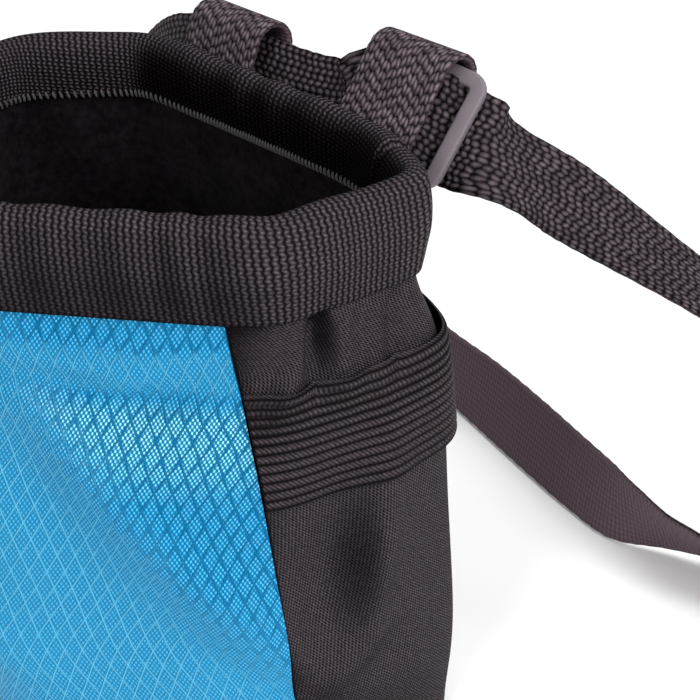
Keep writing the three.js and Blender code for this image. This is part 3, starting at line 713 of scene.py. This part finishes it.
def turn_at(place, z):
    """Place 0 to 1 crosses the front from left seam to right, 1 to 2 the body on to the left."""
    up = np.asarray(z, float) / BAG_HEIGHT
    left = np.radians(LEFT_SEAM[0] + (LEFT_SEAM[1] - LEFT_SEAM[0]) * up)
    right = np.radians(RIGHT_SEAM[0] + (RIGHT_SEAM[1] - RIGHT_SEAM[0]) * up)
    front = left + (right - left) * place
    body = right + (left + 2 * math.pi - right) * (place - 1)
    return np.where(np.asarray(place) <= 1, front, body)


# %% [markdown]
# Both cloth panels are slabs 1.4 mm thick, folded under at their seams. The blue front lies a
# little proud there, and its fold catches the light, so the last two millimetres of its edge
# roll outwards. The black body goes in under it.

# %% Front and body
WALL_ROWS = 150
FRONT_COLUMNS = 240
BODY_COLUMNS = 330
SEAM_ROLL = 0.5
SEAM_REACH = 1.6


def wall_panel(name, start, end, columns, roll, material):
    """A slab between two places: outer rows up, inner rows down, edges rolled out by roll."""
    places = np.linspace(start, end, columns)[:, None]
    heights = np.linspace(SHELL_BOTTOM, SHELL_TOP, WALL_ROWS)
    side = np.where(places == start, 1.0, np.where(places == end, -1.0, 0.0))

    def face(z, out):
        turn = turn_at(places, z[None, :])
        span = shell_radius(turn, z[None, :])
        turn = turn + side * 0.5 * CLEARANCE / span
        width = (turn[-1] - turn[0]) * span
        near = np.minimum(places - start, end - places) / (end - start) * np.abs(width)
        return wall_point(turn, z[None, :], out + roll * np.exp(-(near / SEAM_REACH) ** 2))

    rings = np.concatenate([face(heights, 0.0), face(heights[::-1], -SHELL_THICK + 0.2)], axis=1)
    return skin(name, rings, False, material)


front = wall_panel("front_cloth", 0.0, 1.0, FRONT_COLUMNS, SEAM_ROLL, BLUE)
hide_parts("front_panel")

body = wall_panel("body_cloth", 1.0, 2.0, BODY_COLUMNS, -0.1, BLACK)
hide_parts("body_panel")

# %% [markdown]
# The lining is a cup inside the walls: out along its floor, up, over its top edge and back
# down. A thin cup of fleece is never flat, so a slow ripple moves its inner face, and its
# floor swells a little beside the middle.

# %% Lining
LINING_COLUMNS = 240
LINING_ROWS = 70
LINING_OUT = -SHELL_THICK - CLEARANCE
LINING_RIPPLE = 0.9
BULGE_SIDE = 8
BULGE_RISE = 1.2
BULGE_SPREAD = 500.0


def lining_cup():
    places = np.linspace(0, 2, LINING_COLUMNS, endpoint=False)[:, None]
    floor = SHELL_BOTTOM + LINING_THICK
    heights = np.linspace(SHELL_BOTTOM, SHELL_TOP, LINING_ROWS)
    inner_heights = np.linspace(floor, SHELL_TOP, LINING_ROWS)[::-1]
    outer = wall_point(turn_at(places, heights[None, :]), heights[None, :], LINING_OUT)
    ripple = 0.5 + 0.5 * np.sin(7 * math.pi * places + 0.05 * inner_heights[None, :])
    calm = smoothstep(SHELL_TOP - inner_heights, 8, 30) * smoothstep(inner_heights, 6, 30)
    inside = LINING_OUT - LINING_THICK - LINING_RIPPLE * ripple * calm[None, :]
    inner = wall_point(turn_at(places, inner_heights[None, :]), inner_heights[None, :], inside)
    shares = np.linspace(0, 1, 14)[1:-1]
    bottom_out = outer[:, :1] * shares[None, :, None]
    bottom_out[..., 2] = SHELL_BOTTOM
    bottom_in = inner[:, -1:] * shares[::-1][None, :, None]
    from_bulge = (bottom_in[..., 0] - BULGE_SIDE) ** 2 + bottom_in[..., 1] ** 2
    bottom_in[..., 2] = floor + BULGE_RISE * np.exp(-from_bulge / BULGE_SPREAD)
    middle = np.zeros((LINING_COLUMNS, 1, 3))
    start = middle + np.array([0, 0, SHELL_BOTTOM])
    end = middle + np.array([0, 0, floor + BULGE_RISE * math.exp(-BULGE_SIDE**2 / BULGE_SPREAD)])
    rings = np.concatenate([start, bottom_out, outer, inner, bottom_in, end], axis=1)
    return skin("fleece_lining", rings, True, FLEECE)


lining = lining_cup()
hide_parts("lining")

# %% [markdown]
# The rim is one folded tape over a soft padded cord. Its profile goes up the outer leg, over
# the roll and down the inner leg. The tape's two ends overlap inside the back right corner:
# the top layer stands proud there and ends in a sharp crease.

# %% Rim
ROLL_OUT = 3.4
ROLL_IN = 5.6
TAPE_THICK = 1.2
RIM_COLUMNS = 520


def even_curve(knots, t, power):
    """Catmull-Rom through knots at t; power 0.25 spaces it by their distances, 0 evenly."""
    knots = np.asarray(knots, float)
    ends = np.concatenate([2 * knots[:1] - knots[1:2], knots, 2 * knots[-1:] - knots[-2:-1]])
    i = np.minimum(t.astype(int), len(knots) - 2)
    w = (t - i)[:, None]
    a, b, c, d = ends[i], ends[i + 1], ends[i + 2], ends[i + 3]
    gap = lambda p, q: np.maximum(np.sum((p - q) ** 2, axis=1, keepdims=True), 1e-8) ** power
    before, here, after = gap(a, b), gap(b, c), gap(c, d)
    start = ((b - a) / before - (c - a) / (before + here) + (c - b) / here) * here
    end = ((c - b) / here - (d - b) / (here + after) + (d - c) / after) * here
    return b + start * w + (3 * (c - b) - 2 * start - end) * w**2 + (2 * (b - c) + start + end) * w**3


def curve_through(points, count):
    """A smooth row of count points through a few, spaced evenly by length."""
    t = np.linspace(0, len(points) - 1 - 1e-9, 40 * len(points))
    fine = even_curve(points, t, 0.0)
    length = run_along(fine)
    even = np.linspace(0, length[-1], count)
    return np.stack([np.interp(even, length, fine[:, k]) for k in range(fine.shape[1])], -1)


def rim_profile():
    """(out, drop) pairs: the outer leg and roll as one smooth curve, then the channel inside."""
    outer_leg = CLEARANCE + TAPE_THICK
    inner_face = LINING_OUT - LINING_THICK - CLEARANCE
    inner_leg = inner_face - TAPE_THICK
    middle = (ROLL_OUT - ROLL_IN) / 2
    blend = lambda a, b, share: a + (b - a) * share
    outside = [
        (outer_leg, RIM_OUTER_DROP - 0.3),
        (blend(outer_leg, ROLL_OUT, 0.45), 0.8 * RIM_OUTER_DROP),
        (ROLL_OUT, 0.54 * RIM_OUTER_DROP),
        (blend(middle, ROLL_OUT, 0.97), 0.3 * RIM_OUTER_DROP),
        (blend(middle, ROLL_OUT, 0.75), 0.1 * RIM_OUTER_DROP),
        (blend(middle, ROLL_OUT, 0.35), 0.02 * RIM_OUTER_DROP),
        (middle, 0.0),
        (blend(middle, -ROLL_IN, 0.45), 0.03 * RIM_INNER_DROP),
        (blend(middle, -ROLL_IN, 0.85), 0.18 * RIM_INNER_DROP),
        (-ROLL_IN, 0.45 * RIM_INNER_DROP),
        (blend(inner_leg, -ROLL_IN, 0.6), 0.8 * RIM_INNER_DROP),
        (inner_leg, RIM_INNER_DROP - 0.3),
    ]
    channel = [
        (inner_leg + 0.3, RIM_INNER_DROP),
        (inner_face, RIM_INNER_DROP),
        (inner_face, 8 - CLEARANCE),
        (CLEARANCE, 8 - CLEARANCE),
        (CLEARANCE, RIM_OUTER_DROP),
        (outer_leg - 0.3, RIM_OUTER_DROP),
    ]
    return curve_through(outside, 60), np.array(channel)


OVERLAP_PLACE = 1.262
OVERLAP_PROUD = 0.8
OVERLAP_FADE = 22.0
OVERLAP_CREASE = 0.9
LUMP_RISE = 0.28
RIM_GIRTH = 420


def rim_binding():
    smooth_part, channel = rim_profile()
    profile = np.concatenate([smooth_part, channel])
    places = np.linspace(0, 2, RIM_COLUMNS, endpoint=False)[:, None]
    drop = profile[None, :, 1]
    z = BAG_HEIGHT - drop
    outside = np.zeros(len(profile))
    outside[: len(smooth_part)] = np.sin(np.linspace(0, math.pi, len(smooth_part))) ** 0.5
    lumps = LUMP_RISE * np.sin(2 * math.pi * 9 * places + 1.7 * np.sin(2 * math.pi * 2 * places))
    after = (places - OVERLAP_PLACE) * RIM_GIRTH / 2
    proud = np.where(after > 0, np.exp(-np.abs(after) / OVERLAP_FADE), 0.0) * OVERLAP_PROUD
    crease = OVERLAP_CREASE * np.exp(-(after / 0.7) ** 2)
    swell = (lumps + proud - crease) * outside[None, :]
    base = wall_point(turn_at(places, z), z, profile[None, :, 0] + 0 * places)
    middle_out = (ROLL_OUT - ROLL_IN) / 2
    centre = wall_point(turn_at(places, z), BAG_HEIGHT - 6 + 0 * z, middle_out + 0 * drop)
    push = base - centre
    push[..., 2] *= np.where(drop < 6, 1.0, 0.0)
    push /= np.maximum(np.linalg.norm(push, axis=2, keepdims=True), 1e-6)
    return skin("rim_tape", base + swell[..., None] * push, True, TAPE, even=True)


rim = rim_binding()
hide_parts("rim_binding")

# %% [markdown]
# The inner hem is oversewn. Each stitch is a short fat arc of thread across the tape's lower
# edge, one every 1.35 mm, leaning a little. A few dozen faces are enough for one.

# %% Hem stitches
STITCH_PITCH = 1.35
STITCH_TALL = 2.3
STITCH_ROUND = 0.34
HEM_GIRTH = 390


def tubes(starts, ends, lifts, radius, sides=6, steps=5):
    """Small arcs from starts to ends, raised by lifts in the middle: rings of a tapered tube."""
    t = np.linspace(0, 1, steps)[None, :, None]
    line = starts[:, None] * (1 - t) + ends[:, None] * t + lifts[:, None] * np.sin(math.pi * t)
    along = units(np.gradient(line, axis=1))
    side = units(np.cross(along, lifts[:, None]))
    over = np.cross(side, along)
    taper = radius * np.sqrt(np.clip(1 - (2 * t - 1) ** 4, 0.05, 1))
    turn = np.linspace(0, 2 * math.pi, sides, endpoint=False)[None, None, :, None]
    ring = np.cos(turn) * side[:, :, None] + np.sin(turn) * over[:, :, None]
    return line[:, :, None] + ring * taper[:, :, None]


def tube_mesh(name, rings, material):
    """One mesh for many tubes of shape (tubes, steps, sides, 3), with their ends closed."""
    count, steps, sides = rings.shape[:3]
    quads, _ = ring_quads(steps, sides, False)
    ends, _ = cap_quads(steps, sides)
    quads = np.concatenate([quads, ends])
    one = rings[0].reshape(-1, 3)
    if volume_of(one, quads) < 0:
        quads = quads[:, ::-1]
    every = (quads[None] + np.arange(count)[:, None, None] * steps * sides).reshape(-1, 4)
    points = rings.reshape(-1, 3)
    flat = every.ravel()
    return put_mesh(name, points, every, points[flat, 0] + points[flat, 1], points[flat, 2], material)


def hem_stitches():
    inner_leg = LINING_OUT - LINING_THICK - CLEARANCE - TAPE_THICK
    count = int(HEM_GIRTH / STITCH_PITCH)
    place = (np.arange(count) + 0.5) / count * 2
    lean = 0.35 * 2 / count
    low_z = np.full(count, BAG_HEIGHT - RIM_INNER_DROP - 0.2)
    top_z = low_z + STITCH_TALL
    low = wall_point(turn_at(place, low_z), low_z, np.full(count, inner_leg - 0.05))
    top = wall_point(turn_at(place + lean, top_z), top_z, np.full(count, inner_leg - 0.35))
    far = wall_point(turn_at(place, low_z), low_z, np.full(count, inner_leg - 1.05))
    return tube_mesh("hem_stitches", tubes(low, top, (far - low) * 0.45, STITCH_ROUND), THREAD)


stitches = hem_stitches()

# %% [markdown]
# The brush band is sewn flat at the blue seam and behind the right side, and is slack between.
# Twelve ribs run along it. Its profile is a thin slab whose outer face rises and falls once a
# rib, so the ribs show in its edge against the white floor.

# %% Brush band
BAND_WIDTH = 29.0
BAND_THICK = 1.3
BAND_BOTTOM = 0.57 * BAG_HEIGHT
BAND_SLACK = 1.2
BAND_END = 20 / 46
BAND_COLUMNS = 220
RIB_DEPTH = 0.35


def brush_band():
    part = np.linspace(0, 1, BAND_COLUMNS)[:, None]
    places = 1 + part * BAND_END
    slack = BAND_SLACK * smoothstep(part, 0, 0.25) * smoothstep(1 - part, 0, 0.2)
    across = np.linspace(0, BAND_WIDTH, 97)
    rib = RIB_DEPTH * (0.5 - 0.5 * np.cos(2 * math.pi * across / RIB_PITCH)) ** 0.6 - RIB_DEPTH
    edge = 0.4 * (np.exp(-across / 0.4) + np.exp(-(BAND_WIDTH - across) / 0.4))

    def face(lift):
        z = BAND_BOTTOM + across[None, :]
        turn = turn_at(places, z)
        turn = turn + 1.2 * CLEARANCE / 60.0
        return wall_point(turn, z, CLEARANCE + slack + lift[None, :])

    outer = face(BAND_THICK + rib - edge)
    inner = face(edge)[:, ::-1]
    return skin("brush_elastic", np.concatenate([outer, inner], axis=1), False, ELASTIC)


band = brush_band()
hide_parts("brush_band")

# %% [markdown]
# Straps are stadium-shaped in section: flat faces and rounded selvedges. The same helper
# carries that section along any line, given the direction across the strap at each point.
# The selvedges are scalloped very slightly, where the weft turns back.

# %% Straps
def strap_section(width, thick, flat_steps=26, round_steps=4):
    """(across, through) corners of a flat bar with rounded edges, once round."""
    half, depth = width / 2, thick / 2
    straight = np.linspace(-half + depth, half - depth, flat_steps)
    bend = np.linspace(-math.pi / 2, math.pi / 2, round_steps + 2)[1:-1]
    right = np.stack([half - depth + depth * np.cos(bend), depth * np.sin(bend)], -1)
    low = np.stack([straight, np.full(flat_steps, -depth)], -1)
    high = np.stack([straight[::-1], np.full(flat_steps, depth)], -1)
    return np.concatenate([low, right, high, -right])


def strap(name, line, across, through, width, thick, material, scallop=0.0):
    """The section carried along line; across and through are unit directions at each point."""
    section = strap_section(width, thick)
    length = run_along(line)
    edge = smoothstep(np.abs(section[:, 0]), width / 2 - 1.5, width / 2)[None, :]
    wave = 1 - scallop / (width / 2) * (0.5 + 0.5 * np.cos(2 * math.pi * length / 2.3))[:, None] * edge
    w = section[None, :, 0] * wave
    t = section[None, :, 1] + 0 * w
    rings = line[:, None] + w[..., None] * across[:, None] + t[..., None] * through[:, None]
    v = section[:, 0] + REVERSE_SIDE * (section[:, 1] > 0)
    v = np.concatenate([v, v[:1]])
    uv = (np.repeat(length[:, None], len(v), 1), np.repeat(v[None], len(length), 0))
    return skin(name, rings, False, material, uv=uv, sharp=60.0)


# %% [markdown]
# A belt loop is a strip of webbing folded in half, sewn to the body under the rim's hem. It
# goes up behind the rim, over the belt in an arch and down again. Both loops lean back, the
# right one more, because the belt's pull and the slider inside it hold it open.

# %% Belt loops
BELT_WIDTH = 25.0
BELT_THICK = 1.6
BELT_DROP = 11.0
LOOP_WIDTH = 25.0
LOOP_THICK = 1.5
LOOP_GAP = 12.0
LOOP_BASE_DROP = 11.0
LOOP_TAIL = 12.0
LOOPS = {
    "left": {"side": -0.433, "lean": 22.0, "strand": 0.52},
    "right": {"side": 0.46, "lean": 38.0, "strand": 0.92},
}


def back_face(x, z):
    """How far back the shell lies at sideways place x, by halving the turn thirty times."""
    low, high = math.radians(15), math.radians(165)
    for _ in range(30):
        turn = (low + high) / 2
        if wall_point(turn, z, 0.0)[0] > x:
            low = turn
        else:
            high = turn
    return wall_point((low + high) / 2, z, 0.0)[1]


def loop_frame(side, lean):
    """Foot of the loop's front strand, and the ways up it and from it to the back strand."""
    x = side * BAG_WIDTH / 2
    edges = [x + share * LOOP_WIDTH / 2 for share in (-1, -0.5, 0, 0.5, 1)]
    face = lambda z: max(back_face(place, z) for place in edges)
    near = 2 * CLEARANCE + LOOP_THICK / 2
    foot = np.array([x, face(BAG_HEIGHT) + ROLL_OUT + near, BAG_HEIGHT - LOOP_BASE_DROP])
    up = np.array([0, math.sin(math.radians(lean)), math.cos(math.radians(lean))])
    back = np.array([0, math.cos(math.radians(lean)), -math.sin(math.radians(lean))])
    return x, face, near, lambda rise, depth: foot + rise * up + depth * back


def loop_path(side, lean, strand):
    """The strip's middle line: tail, past the rim, front strand, arch, back strand, tail."""
    x, face, near, at = loop_frame(side, lean)
    hem = BAG_HEIGHT - RIM_OUTER_DROP
    layer = LOOP_THICK + CLEARANCE
    rise = strand * BELT_WIDTH
    tail_z = lambda drop: hem - drop * LOOP_TAIL
    on_body = lambda drop, out: np.array([x, face(tail_z(drop)) + out, tail_z(drop)])
    half = LOOP_GAP / 2
    arch = [
        at(rise + half * math.sin(share * math.pi), half * (1 - math.cos(share * math.pi)))
        for share in (0.2, 0.4, 0.6, 0.8)
    ]
    rim_back = face(BAG_HEIGHT) + (TAPE_THICK + ROLL_OUT) / 2 + near
    rim_foot = np.array([x, rim_back, hem + 0.12 * RIM_OUTER_DROP])
    back_foot = at(0, LOOP_GAP)
    level = on_body(0, near + layer)
    drop_in = level + 0.8 * (np.array([back_foot[0], back_foot[1], hem]) - level)
    return np.array([
        on_body(1, near), on_body(0.6, near), on_body(0.25, near), rim_foot,
        at(0, 0), at(rise / 2, 0), at(rise, 0), *arch,
        at(rise, LOOP_GAP), at(rise / 2, LOOP_GAP), back_foot, drop_in,
        on_body(0.6, near + layer), on_body(1, near + layer),
    ])


def belt_loop(name, loop):
    line = curve_through(loop_path(**loop), 160)
    ahead = units(np.gradient(line, axis=0))
    across = np.repeat([[1.0, 0.0, 0.0]], len(line), 0)
    return strap(name, line, across, np.cross(ahead, across), LOOP_WIDTH, LOOP_THICK, LOOP_WEB, 0.25)


for side_name, loop in LOOPS.items():
    piece = belt_loop(f"loop_{side_name}", loop)
    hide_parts(f"belt_loop_{side_name}")

# %% [markdown]
# The belt is one closed ring of webbing. The photo shows it behind the rim, through the
# slider, off to the right, and again where it comes back along the floor. The rest takes the
# plain way round behind the bag, where a fastened buckle joins its ends. Its line is a smooth
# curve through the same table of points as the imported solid's.

# %% The belt's route
SLIDER = {"side": 0.265, "up": 0.468, "behind": 0.515, "swing": 8.0, "dip": 8.0, "lean": 41.0}
BELT_STEP = 1.6
SLIDER_LENGTH = 30.5
SLIDER_WIDTH = 24.0
SLIDER_THICK = 2.5
SLIDER_BAR = 4.0
SLIDER_CORNER = 5.0
SLIDER_SOFT = 0.7
BUCKLE = {"side": -1.72, "back": 3.21, "swing": -6.0}
BUCKLE_LENGTH = 46.0
BUCKLE_WIDTH = 31.0
BUCKLE_THICK = 8.0
BUCKLE_POCKET = 13.0
BUCKLE_SQUARE = 0.35
ROUTE_RIGHT = [
    (-1, 3.05, 0, 0), (-0.52, 2.88, 0, -6), (-0.2, 2.785, 0, -12), (0.21, 2.64, 0, -13),
    (0.55, 2.515, 0, -10), (0.83, 2.427, 0, -4), (1.03, 2.409, 0.008, 16), (1.2, 2.418, 0.015, 32),
    (1.38, 2.451, 0.022, 42), (1.6, 2.517, 0.034, 60), (1.97, 2.7, 0.03, 52), (2.4, 3, 0.015, 24),
    (2.9, 3.28, 0, 0), (3.3, 3.25, 0, 0), (3.45, 2.9, 0.04, 8), (3.15, 2.5, 0.2, 24),
    (2.6, 2.24, 0.45, 50), (2.05, 2, 0.668, 71), (1.57, 1.71, 0.792, 90), (1.03, 1.36, 0.93, 65),
]
ROUTE_LEFT = [
    (0.2, 0.98, 1.015, 34), (0.0, 0.955, 1.0, 30), (-0.433, 0.945, 0.995, 24), (-0.83, 0.99, 0.97, 16),
    (-1.45, 1.3, 0.77, 6), (-2.1, 1.75, 0.45, 0), (-2.65, 2.3, 0.16, 0), (-2.8, 2.8, 0.03, 0),
    (-2.5, 3.15, 0.01, 0),
]


def slider_frame():
    """Middle of the slider, the way along the belt, across it and through to its back."""
    swing, dip, lean = (math.radians(SLIDER[key]) for key in ("swing", "dip", "lean"))
    loop = LOOPS["right"]
    at = loop_frame(loop["side"], loop["lean"])[3]
    middle = at(SLIDER["up"] * BELT_WIDTH, SLIDER["behind"] * LOOP_GAP)
    middle[0] += SLIDER["side"] * LOOP_WIDTH
    along = np.array([math.cos(dip) * math.cos(swing), math.cos(dip) * math.sin(swing), -math.sin(dip)])
    up = units(np.array([0, 0, 1.0]) - along * along[2])
    across = up * math.cos(lean) + np.cross(up, along) * math.sin(lean)
    return middle, along, across, np.cross(across, along)


def route_point(side, back, rise, lean):
    """A row of the route in mm: rise runs from the floor to the belt's height behind the rim."""
    tilt = math.radians(lean)
    floor = BELT_WIDTH / 2 * abs(math.cos(tilt)) + BELT_THICK / 2 * abs(math.sin(tilt)) + CLEARANCE
    z = floor + (BAG_HEIGHT - BELT_DROP - floor) * rise
    return np.array([side * BAG_WIDTH / 2, back * BAG_DEPTH / 2, z])


def buckle_frame():
    swing = math.radians(BUCKLE["swing"])
    along = np.array([math.cos(swing), math.sin(swing), 0.0])
    middle = route_point(BUCKLE["side"], BUCKLE["back"], 0, 0)
    middle[2] = BUCKLE_WIDTH / 2
    across = np.array([0, 0, 1.0])
    return middle, along, across, np.cross(along, across)


def belt_line():
    """The belt's stations: middle, across and through, with its step over the slider's bar."""
    slider_middle, slider_along, _, slider_back = slider_frame()
    buckle_middle, buckle_along, _, _ = buckle_frame()
    step = (SLIDER_THICK + BELT_THICK) / 2 + CLEARANCE
    run = SLIDER_WIDTH / 2 + 2 * CLEARANCE
    behind = slider_middle + slider_back * step
    held = [(behind + slider_along * s, SLIDER["lean"]) for s in (run, 0, -run, -run - BELT_WIDTH / 5)]
    twisted = (SLIDER["lean"] + ROUTE_RIGHT[-1][3]) / 2
    held.insert(0, (behind + slider_along * (run + BELT_WIDTH / 5), twisted))
    end = BUCKLE_LENGTH / 2
    buckle = lambda s: (buckle_middle + buckle_along * s, 0.0)
    free = lambda rows: [(route_point(*row), row[3]) for row in rows]
    knots = [buckle(end - BUCKLE_POCKET), buckle(end), *free(ROUTE_RIGHT), *held, *free(ROUTE_LEFT)]
    knots += [buckle(-end), buckle(BUCKLE_POCKET - end)]
    points = np.array([point for point, _ in knots])
    leans = np.array([[math.radians(lean)] for _, lean in knots])
    gaps = np.linalg.norm(np.diff(points, axis=0), axis=1)
    steps = np.maximum(2, np.round(gaps / BELT_STEP)).astype(int)
    t = np.concatenate([i + np.arange(n) / n for i, n in enumerate(steps)])
    t = np.append(t, len(points) - 1.0)
    middle = even_curve(points, t, 0.25)
    lean = even_curve(leans, t, 0.0)[:, 0]
    ahead = units(np.gradient(middle, axis=0))
    up = units(np.array([0, 0, 1.0]) - ahead * ahead[:, 2:])
    side = np.cross(ahead, up)
    across = up * np.cos(lean)[:, None] + side * np.sin(lean)[:, None]
    through = np.cross(ahead, across)
    from_middle = np.abs((middle - behind) @ slider_along)
    nearby = np.linalg.norm(middle - behind, axis=1) < SLIDER_WIDTH
    past_bar = smoothstep(from_middle, SLIDER_BAR / 2, SLIDER_WIDTH / 2 - SLIDER_BAR)
    over = np.where(nearby, 1 - past_bar, 0)
    middle = middle - 2 * step * over[:, None] * slider_back
    reach = np.abs(across[:, 2]) * BELT_WIDTH / 2 + np.abs(through[:, 2]) * BELT_THICK / 2
    middle[:, 2] = np.maximum(middle[:, 2], reach + CLEARANCE)
    return middle, across, through


belt_middle, belt_across, belt_through = belt_line()
BELT_LENGTH = float(np.linalg.norm(np.diff(belt_middle, axis=0), axis=1).sum())
print(f"belt: {BELT_LENGTH:.0f} mm")
belt = strap("belt", belt_middle, belt_across, belt_through, BELT_WIDTH, BELT_THICK, BELT_WEB, 0.25)
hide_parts("belt_strap")

# %% [markdown]
# The slider is a moulded frame with a bar across its middle. Bars are round-edged, so they are
# swept: a rounded section goes once round the outline and once across the middle.

# %% Slider
def rounded_outline(length, width, corner, steps=8):
    """Points once round a rounded rectangle, and the outward direction at each."""
    bend = np.linspace(0, math.pi / 2, steps)
    points, outward = [], []
    for quarter, (x, y) in enumerate([(1, 1), (-1, 1), (-1, -1), (1, -1)]):
        turn = bend + quarter * math.pi / 2
        direction = np.stack([np.cos(turn), np.sin(turn)], -1)
        centre = np.array([x * (length / 2 - corner), y * (width / 2 - corner)])
        points.append(centre + corner * direction)
        outward.append(direction)
    return np.concatenate(points), np.concatenate(outward)


def bar_section(width, thick, soft, steps=4):
    """A bar's section: (across, through) corners of a rectangle with rounded edges."""
    outline, _ = rounded_outline(width, thick, soft, steps)
    return outline


def join_skins(name, parts, material, sharp=40.0):
    """One mesh object from several skins, each a pair of (rings, closed)."""
    points, quads, shift = [], [], 0
    for rings, closed in parts:
        stations, size = rings.shape[:2]
        faces, _ = ring_quads(stations, size, closed)
        if not closed:
            faces = np.concatenate([faces, cap_quads(stations, size)[0]])
        flat = rings.reshape(-1, 3)
        if volume_of(flat, faces) < 0:
            faces = faces[:, ::-1]
        points.append(flat)
        quads.append(faces + shift)
        shift += len(flat)
    points, quads = np.concatenate(points), np.concatenate(quads)
    flat = quads.ravel()
    return put_mesh(name, points, quads, points[flat, 0], points[flat, 2], material, sharp)


def slider():
    middle, along, across, back = slider_frame()
    wide, tall = SLIDER_WIDTH - SLIDER_BAR, SLIDER_LENGTH - SLIDER_BAR
    centre_line, outward = rounded_outline(wide, tall, SLIDER_CORNER - SLIDER_BAR / 2)
    section = bar_section(SLIDER_BAR, SLIDER_THICK, SLIDER_SOFT)
    flat = centre_line[:, None] + section[None, :, :1] * outward[:, None]

    def to_place(x, y, z):
        return middle + x[..., None] * along + y[..., None] * across + z[..., None] * back

    ring = to_place(flat[..., 0], flat[..., 1], np.broadcast_to(section[None, :, 1], flat.shape[:2]))
    reach = np.linspace(-1, 1, 6)[:, None] * tall / 2
    bar = to_place(*np.broadcast_arrays(section[None, :, 0], reach, section[None, :, 1]))
    return join_skins("slider_frame", [(ring, True), (bar, False)], GREY_PLASTIC)


slider_piece = slider()
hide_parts("slider")

# %% [markdown]
# The buckle is out of the photo, so it is a plain fastened side-release buckle of the usual
# size: a rounded shell that is pinched at both long edges, where the two catches are pressed.

# %% Buckle
def buckle():
    middle, along, across, through = buckle_frame()
    t = np.linspace(-1, 1, 61)[:, None]
    end = np.sqrt(np.clip(1 - np.abs(t) ** 8, 0.02, 1))
    waist = 1 - 0.16 * np.exp(-((t + 0.1) / 0.3) ** 2)
    half = BUCKLE_WIDTH / 2 * (0.86 + 0.14 * end) * waist
    thick = BUCKLE_THICK / 2 * (0.55 + 0.45 * end) * (1 - 0.2 * np.exp(-((t - 0.15) / 0.06) ** 2))
    turn = np.linspace(0, 2 * math.pi, 48, endpoint=False)[None]
    square = lambda wave: np.sign(wave) * np.abs(wave) ** BUCKLE_SQUARE
    x = t * BUCKLE_LENGTH / 2 + 0 * turn
    y = half * square(np.cos(turn))
    z = thick * square(np.sin(turn))
    rings = middle + x[..., None] * along + y[..., None] * across + z[..., None] * through
    return join_skins("buckle_shell", [(rings, False)], BLACK_PLASTIC, 50.0)


buckle_piece = buckle()
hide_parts("buckle")

# %% [markdown]
# The bottom stays as its solid, because it is a flat disc of the same oxford. It has no cloth
# map, so its finish reads the object's place: the same crossing yarns, laid level, with a painted
# highlight on the crowns and painted shade in the gaps.

# %% Bottom
def bottom_oxford():
    finish = Finish("bottom_oxford", Specular_IOR_Level=0.05, Roughness=0.7)
    x, y = (finish.node("ShaderNodeSeparateXYZ", {}, {0: finish.place()}, output=i) for i in (0, 1))
    crowns = staggered(x, y, OXFORD_WIDE * MM, OXFORD_TALL * MM).step(0.25, 0.9)
    finish.feed("Base Color", finish.mix(crowns, (0.007, 0.006, 0.007), (0.06, 0.055, 0.058)))
    finish.bump(crowns, 0.00035, 0.8)
    return finish.material


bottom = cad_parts["base_panel"]
bottom.data.materials.clear()
bottom.data.materials.append(bottom_oxford())

# %% [markdown]
# The photo is a shop picture: a pure white sweep and soft light from all round. The main light
# stands high at the bag's right, a weaker one in front, a wide one above, and the sky fills in.
# The floor is nearly white, and bright enough to leave only a soft shadow.

# %% Floor and light
FLOOR_HALF = 3.0
floor_mesh = bpy.data.meshes.new("floor")
corners = [(x * FLOOR_HALF, y * FLOOR_HALF, 0) for x, y in ((-1, -1), (1, -1), (1, 1), (-1, 1))]
floor_mesh.from_pydata(corners, [], [(0, 1, 2, 3)])
floor = bpy.data.objects.new("floor", floor_mesh)
bpy.context.collection.objects.link(floor)
glow = {"Emission_Color": (1.0, 1.0, 1.0), "Emission_Strength": 0.1}
paper = Finish("paper", Roughness=0.9, Specular_IOR_Level=0.1, **glow)
mottle = paper.noise(3.0).step(0.2, 0.8)
paper.feed("Base Color", paper.mix(mottle, (0.93, 0.93, 0.93), (0.95, 0.95, 0.95)))
floor_mesh.materials.append(paper.material)


def area_light(name, place, aim, size, power):
    data = bpy.data.lights.new(name, "AREA")
    data.shape = "DISK"
    data.size = size
    data.energy = power
    lamp = bpy.data.objects.new(name, data)
    lamp.location = place
    direction = np.array(aim) - np.array(place)
    yaw = math.atan2(direction[1], direction[0]) - math.pi / 2
    pitch = math.atan2(direction[2], math.hypot(direction[0], direction[1])) + math.pi / 2
    lamp.rotation_euler = (pitch, 0, yaw)
    bpy.context.collection.objects.link(lamp)


area_light("key", KEY_PLACE, LIGHT_AIM, 0.9, 13.0)
area_light("front", (0.30, -0.95, 0.70), LIGHT_AIM, 0.4, 5.0)
area_light("top", (-0.10, 0.30, 1.40), LIGHT_AIM, 1.0, 9.0)

world = bpy.data.worlds.new("studio")
world.use_nodes = True
sky = world.node_tree.nodes["Background"]
sky.inputs[0].default_value = (1.0, 1.0, 1.0, 1.0)
sky.inputs[1].default_value = 0.32
bpy.context.scene.world = world
view = bpy.context.scene.view_settings
view.view_transform = "Standard"
view.look = "None"
view.exposure = 0.0
